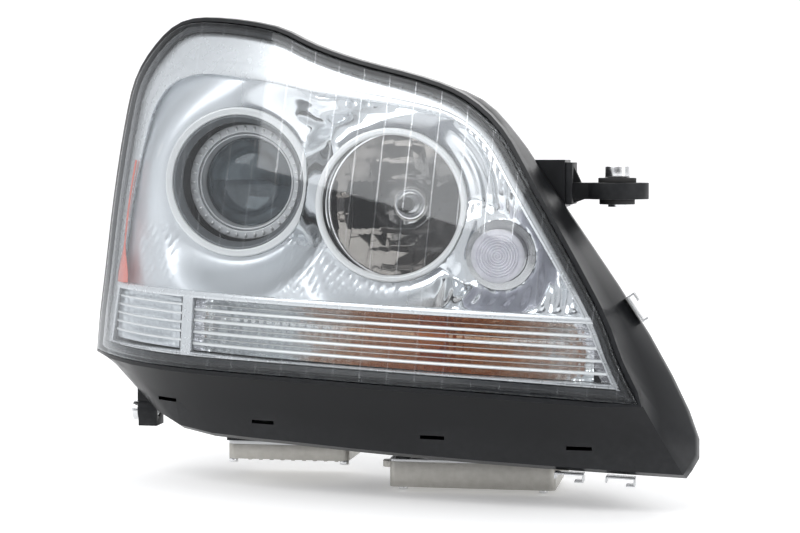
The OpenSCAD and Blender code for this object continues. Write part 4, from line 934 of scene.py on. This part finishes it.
def louvres():
    """Ribs across both windows and the clear fluted posts at their ends."""
    first = True
    for k, drop in enumerate([9.0, 17.5, 26.5, 35.5]):
        z = turn_top(140) - drop
        extra = dict(stands_for=["turn_louvre"], slot="chrome_coat") if first else {}
        rib(f"turn_rib_{k + 1}", drop, -175.8, turn_right(z) + 1.5, 1.15, PALE, **extra)
        rib(f"turn_rib_fine_{k + 1}", drop - 4.4, -175.8, turn_right(z + 4.4) + 0.5, 0.45, BRIGHT, reach=3.0,
            back=20.4)
        first = False
    for k, drop in enumerate([6.0, 13.0, 20.0, 27.0, 34.0]):
        rib(f"side_rib_{k + 1}", drop, -262.5, -187.4, 0.9, PALE, reach=3.4, back=18.0)
    posts = [("turn_end_flutes", lambda z: turn_right(z) - 9, lambda z: turn_right(z) + 2.5),
             ("turn_start_flutes", lambda z: -175.6 + 0 * z, lambda z: -166.0 + 0 * z)]
    for name, left, right in posts:
        t = np.linspace(0, 1, 46)
        u = np.linspace(0, 1, 14)
        uu, tt = np.meshgrid(u, t, indexing="ij")
        z = turn_bottom(100) + 1 + tt * (turn_top(100) - turn_bottom(100) - 2)
        x = left(z) + uu * (right(z) - left(z))
        z = turn_bottom(x) + 1 + tt * (turn_top(x) - turn_bottom(x) - 2)
        y = face_y(x, z) + 17.4 + 0.9 * np.abs(np.sin(math.pi * tt * 11)) + 3.5 * (uu - 0.5)**2
        sheet(name, np.stack([x, y, z], -1), (0, 1.2, 0), FLUTED_CLEAR, sharp=60)


def reflex_strip():
    """Red strip that widens into a small reflector at its foot."""
    zs = np.linspace(-21, 80, 60)
    middle = -254.6 + 0.0011 * zs**2
    half = 1.1 + 6.2 * ease((12 - zs) / 30)
    u = np.linspace(-1, 1, 9)
    x = middle + u[:, None] * half
    z = zs + 0 * x
    dome = 0.8 * (1 - u[:, None]**2)
    y = face_y(x, z) + 10.2 - dome
    sheet("side_reflex_red", np.stack([x, y, z], -1), (0, 1.6, 0), RED, stands_for=["side_reflex_strip"],
          slot="red_reflex", sharp=50)


# ------------------------------------------------------------------ CAD nodes that stay

CAD_LOOKS = {
    SATIN_BLACK: ["housing"],
    BLACK: ["mounting_arm", "foot_bracket", "xenon_cover", "high_beam_cover", "main_connector",
            "breather_caps"],
    DARK_GREY: ["levelling_motor", "swivel_motor", "turn_bulb_holder", "parking_bulb_holder"],
    RUBBER: ["lens_seal", "xenon_cover_seal", "high_beam_cover_seal", "arm_bush", "wiring_harness"],
    SPRING: ["lens_clips", "bulb_spring", "cover_bail"],
    BRIGHT: ["parking_reflector"],
    MACHINED: ["projector_reflector"],
    CARRIER: ["carrier_frame", "projector_frame", "lens_holder", "cutoff_shutter", "shutter_solenoid"],
    ALU: ["ballast_case", "control_unit", "igniter"],
    SATIN: ["ballast_lid", "control_unit_lid"],
    STEEL: ["swivel_shaft", "ball_stud", "solenoid_plunger", "case_screws", "arm_sleeve", "foot_insert",
            "top_sleeve",
            "lateral_rod", "level_adjuster"],
    WHITE: ["ball_cup", "levelling_rod", "lateral_knob"],
    AMBER_GLASS: ["turn_bulb"],
    CLEAR_GLASS: ["parking_bulb", "xenon_bulb"],
}
UNBEVELLED = {"housing", "wiring_harness", "bulb_spring", "cover_bail", "lens_seal", "parking_reflector",
              "projector_reflector", "ball_cup"}


def dress_cad_nodes():
    """Materials, joined surfaces and softened edges for the CAD nodes that are shown."""
    for look, names in CAD_LOOKS.items():
        for name in names:
            obj = frame["nodes"][name]
            obj.data.materials.clear()
            obj.data.materials.append(look)
            if "custom_normal" in obj.data.attributes:
                obj.data.attributes.remove(obj.data.attributes["custom_normal"])
            obj.data.polygons.foreach_set("use_smooth", [True] * len(obj.data.polygons))
            weld = obj.modifiers.new("weld", "WELD")
            weld.merge_threshold = 2e-6
            if name not in UNBEVELLED:
                flat = obj.modifiers.new("flat_faces", "DECIMATE")
                flat.decimate_type = "DISSOLVE"
                flat.angle_limit = math.radians(0.5)
                bevel = obj.modifiers.new("edges", "BEVEL")
                bevel.width = 0.35 * MM
                bevel.segments = 2
                bevel.limit_method = "ANGLE"
                bevel.angle_limit = math.radians(50)
                bevel.use_clamp_overlap = True
            split = obj.modifiers.new("sharp", "EDGE_SPLIT")
            split.split_angle = math.radians(32)


# ------------------------------------------------------------------ studio

def world():
    """White soft tent with a darker patch behind the camera, so that mirrors have something to show."""
    w = bpy.data.worlds.new("studio")
    bpy.context.scene.world = w
    w.use_nodes = True
    tree = w.node_tree
    tree.nodes.clear()
    out = tree.nodes.new("ShaderNodeOutputWorld")
    ways = tree.nodes.new("ShaderNodeTexCoord").outputs["Generated"]
    dot = tree.nodes.new("ShaderNodeVectorMath")
    dot.operation = "DOT_PRODUCT"
    tree.links.new(ways, dot.inputs[0])
    dot.inputs[1].default_value = (math.sin(math.radians(10)), -math.cos(math.radians(10)), 0.0)
    ramp = tree.nodes.new("ShaderNodeValToRGB")
    ramp.color_ramp.elements[0].position = 0.0
    ramp.color_ramp.elements[0].color = (0.95, 0.96, 0.98, 1)
    ramp.color_ramp.elements[1].position = 0.98
    ramp.color_ramp.elements[1].color = (0.12, 0.12, 0.125, 1)
    for at, value in [(0.9, 0.92), (0.955, 0.45)]:
        element = ramp.color_ramp.elements.new(at)
        element.color = (value, value, value * 1.02, 1)
    tree.links.new(dot.outputs["Value"], ramp.inputs["Fac"])
    wave = tree.nodes.new("ShaderNodeTexNoise")
    wave.inputs["Scale"].default_value = 2.2
    wave.inputs["Detail"].default_value = 1.0
    tree.links.new(ways, wave.inputs["Vector"])
    patches = tree.nodes.new("ShaderNodeValToRGB")
    patches.color_ramp.elements[0].position = 0.35
    patches.color_ramp.elements[0].color = (0.3, 0.31, 0.33, 1)
    patches.color_ramp.elements[1].position = 0.42
    patches.color_ramp.elements[1].color = (1, 1, 1, 1)
    tree.links.new(wave.outputs["Fac"], patches.inputs["Fac"])
    both = tree.nodes.new("ShaderNodeMix")
    both.data_type = "RGBA"
    both.blend_type = "MULTIPLY"
    both.inputs[0].default_value = 1.0
    tree.links.new(ramp.outputs["Color"], both.inputs[6])
    tree.links.new(patches.outputs["Color"], both.inputs[7])
    seen = tree.nodes.new("ShaderNodeBackground")
    seen.inputs["Color"].default_value = (1, 1, 1, 1)
    light = tree.nodes.new("ShaderNodeBackground")
    tree.links.new(both.outputs[2], light.inputs["Color"])
    light.inputs["Strength"].default_value = 0.85
    path = tree.nodes.new("ShaderNodeLightPath")
    mix = tree.nodes.new("ShaderNodeMixShader")
    tree.links.new(path.outputs["Is Camera Ray"], mix.inputs[0])
    tree.links.new(light.outputs[0], mix.inputs[1])
    tree.links.new(seen.outputs[0], mix.inputs[2])
    tree.links.new(mix.outputs[0], out.inputs["Surface"])


def softbox(name, at, target, width, height, power):
    lamp = bpy.data.lights.new(name, "AREA")
    lamp.shape = "RECTANGLE"
    lamp.size, lamp.size_y = width, height
    lamp.energy = power
    obj = bpy.data.objects.new(name, lamp)
    bpy.context.scene.collection.objects.link(obj)
    obj.location = at
    obj.rotation_euler = (Vector(target) - Vector(at)).to_track_quat("-Z", "Y").to_euler()


def studio(target):
    world()
    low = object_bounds()[0]
    floor_mesh = bpy.data.meshes.new("studio_floor")
    bm = bmesh.new()
    depth, half = 2.6, 4.0
    rows = [(-3.0, 0.0), (depth, 0.0)]
    rows += [(depth + 0.8 * math.sin(a), 0.8 - 0.8 * math.cos(a)) for a in np.linspace(0.1, math.pi / 2, 10)]
    rows += [(depth + 0.8, 3.5)]
    rings = [[bm.verts.new((x, y, z + low[2] - 0.0015)) for x in (-half, half)] for y, z in rows]
    for a, b in zip(rings, rings[1:]):
        bm.faces.new((a[0], a[1], b[1], b[0]))
    bm.to_mesh(floor_mesh)
    bm.free()
    floor_mesh.polygons.foreach_set("use_smooth", [True] * len(floor_mesh.polygons))
    floor = bpy.data.objects.new("studio_floor", floor_mesh)
    bpy.context.scene.collection.objects.link(floor)
    g = Nodes("pale_floor")
    paper = g.add("ShaderNodeBsdfPrincipled", Roughness=0.9)
    g.put(g.mix((0.9, 0.9, 0.9, 1), (0.93, 0.93, 0.93, 1), g.noise(3.0)), paper.inputs["Base Color"])
    paper.inputs["Emission Color"].default_value = (1, 1, 1, 1)
    paper.inputs["Emission Strength"].default_value = 0.28
    floor_mesh.materials.append(g.finish(paper.outputs[0]))
    floor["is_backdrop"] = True
    softbox("key_light", target + Vector((-0.9, -1.1, 1.3)), target, 1.4, 1.0, 14)
    softbox("side_light", target + Vector((1.5, -0.6, 0.5)), target, 0.5, 1.4, 7)
    softbox("back_light", target + Vector((0.4, 1.4, 1.1)), target, 1.5, 1.0, 10)


def camera(target):
    view_az, view_el, distance = math.radians(10), math.radians(3), 1.5
    cam = bpy.data.cameras.new("camera")
    cam.lens = 90
    cam.sensor_width = 36
    cam.clip_end = 30
    obj = bpy.data.objects.new("camera", cam)
    bpy.context.scene.collection.objects.link(obj)
    away = Vector((math.sin(view_az) * math.cos(view_el), -math.cos(view_az) * math.cos(view_el),
                   math.sin(view_el)))
    obj.location = target + distance * away
    obj.rotation_euler = (-away).to_track_quat("-Z", "Y").to_euler()
    bpy.context.scene.camera = obj
    bpy.context.scene.view_settings.view_transform = "Standard"


cover_lens()
bezel_frame()
bezel_bars()
chrome_panel()
projector_trim()
dot_ring()
projector_glass()
beam_ring()
beam_bowl()
beam_bulb()
parking_lamp()
turn_lamp("turn_reflector_fluted", "turn_reflector", -176, 147, 34, CHROME_PAINTED_AMBER_REFLECTION, 1.5, ["turn_reflector"])
turn_lamp("side_reflector_fluted", "side_lamp_reflector", -262, -190, 10, CHROME, 1.2,
          ["side_lamp_reflector"])
louvres()
reflex_strip()
dress_cad_nodes()

FACE_CENTRE = Vector(-EYE * MM)
studio(FACE_CENTRE)
camera(FACE_CENTRE)
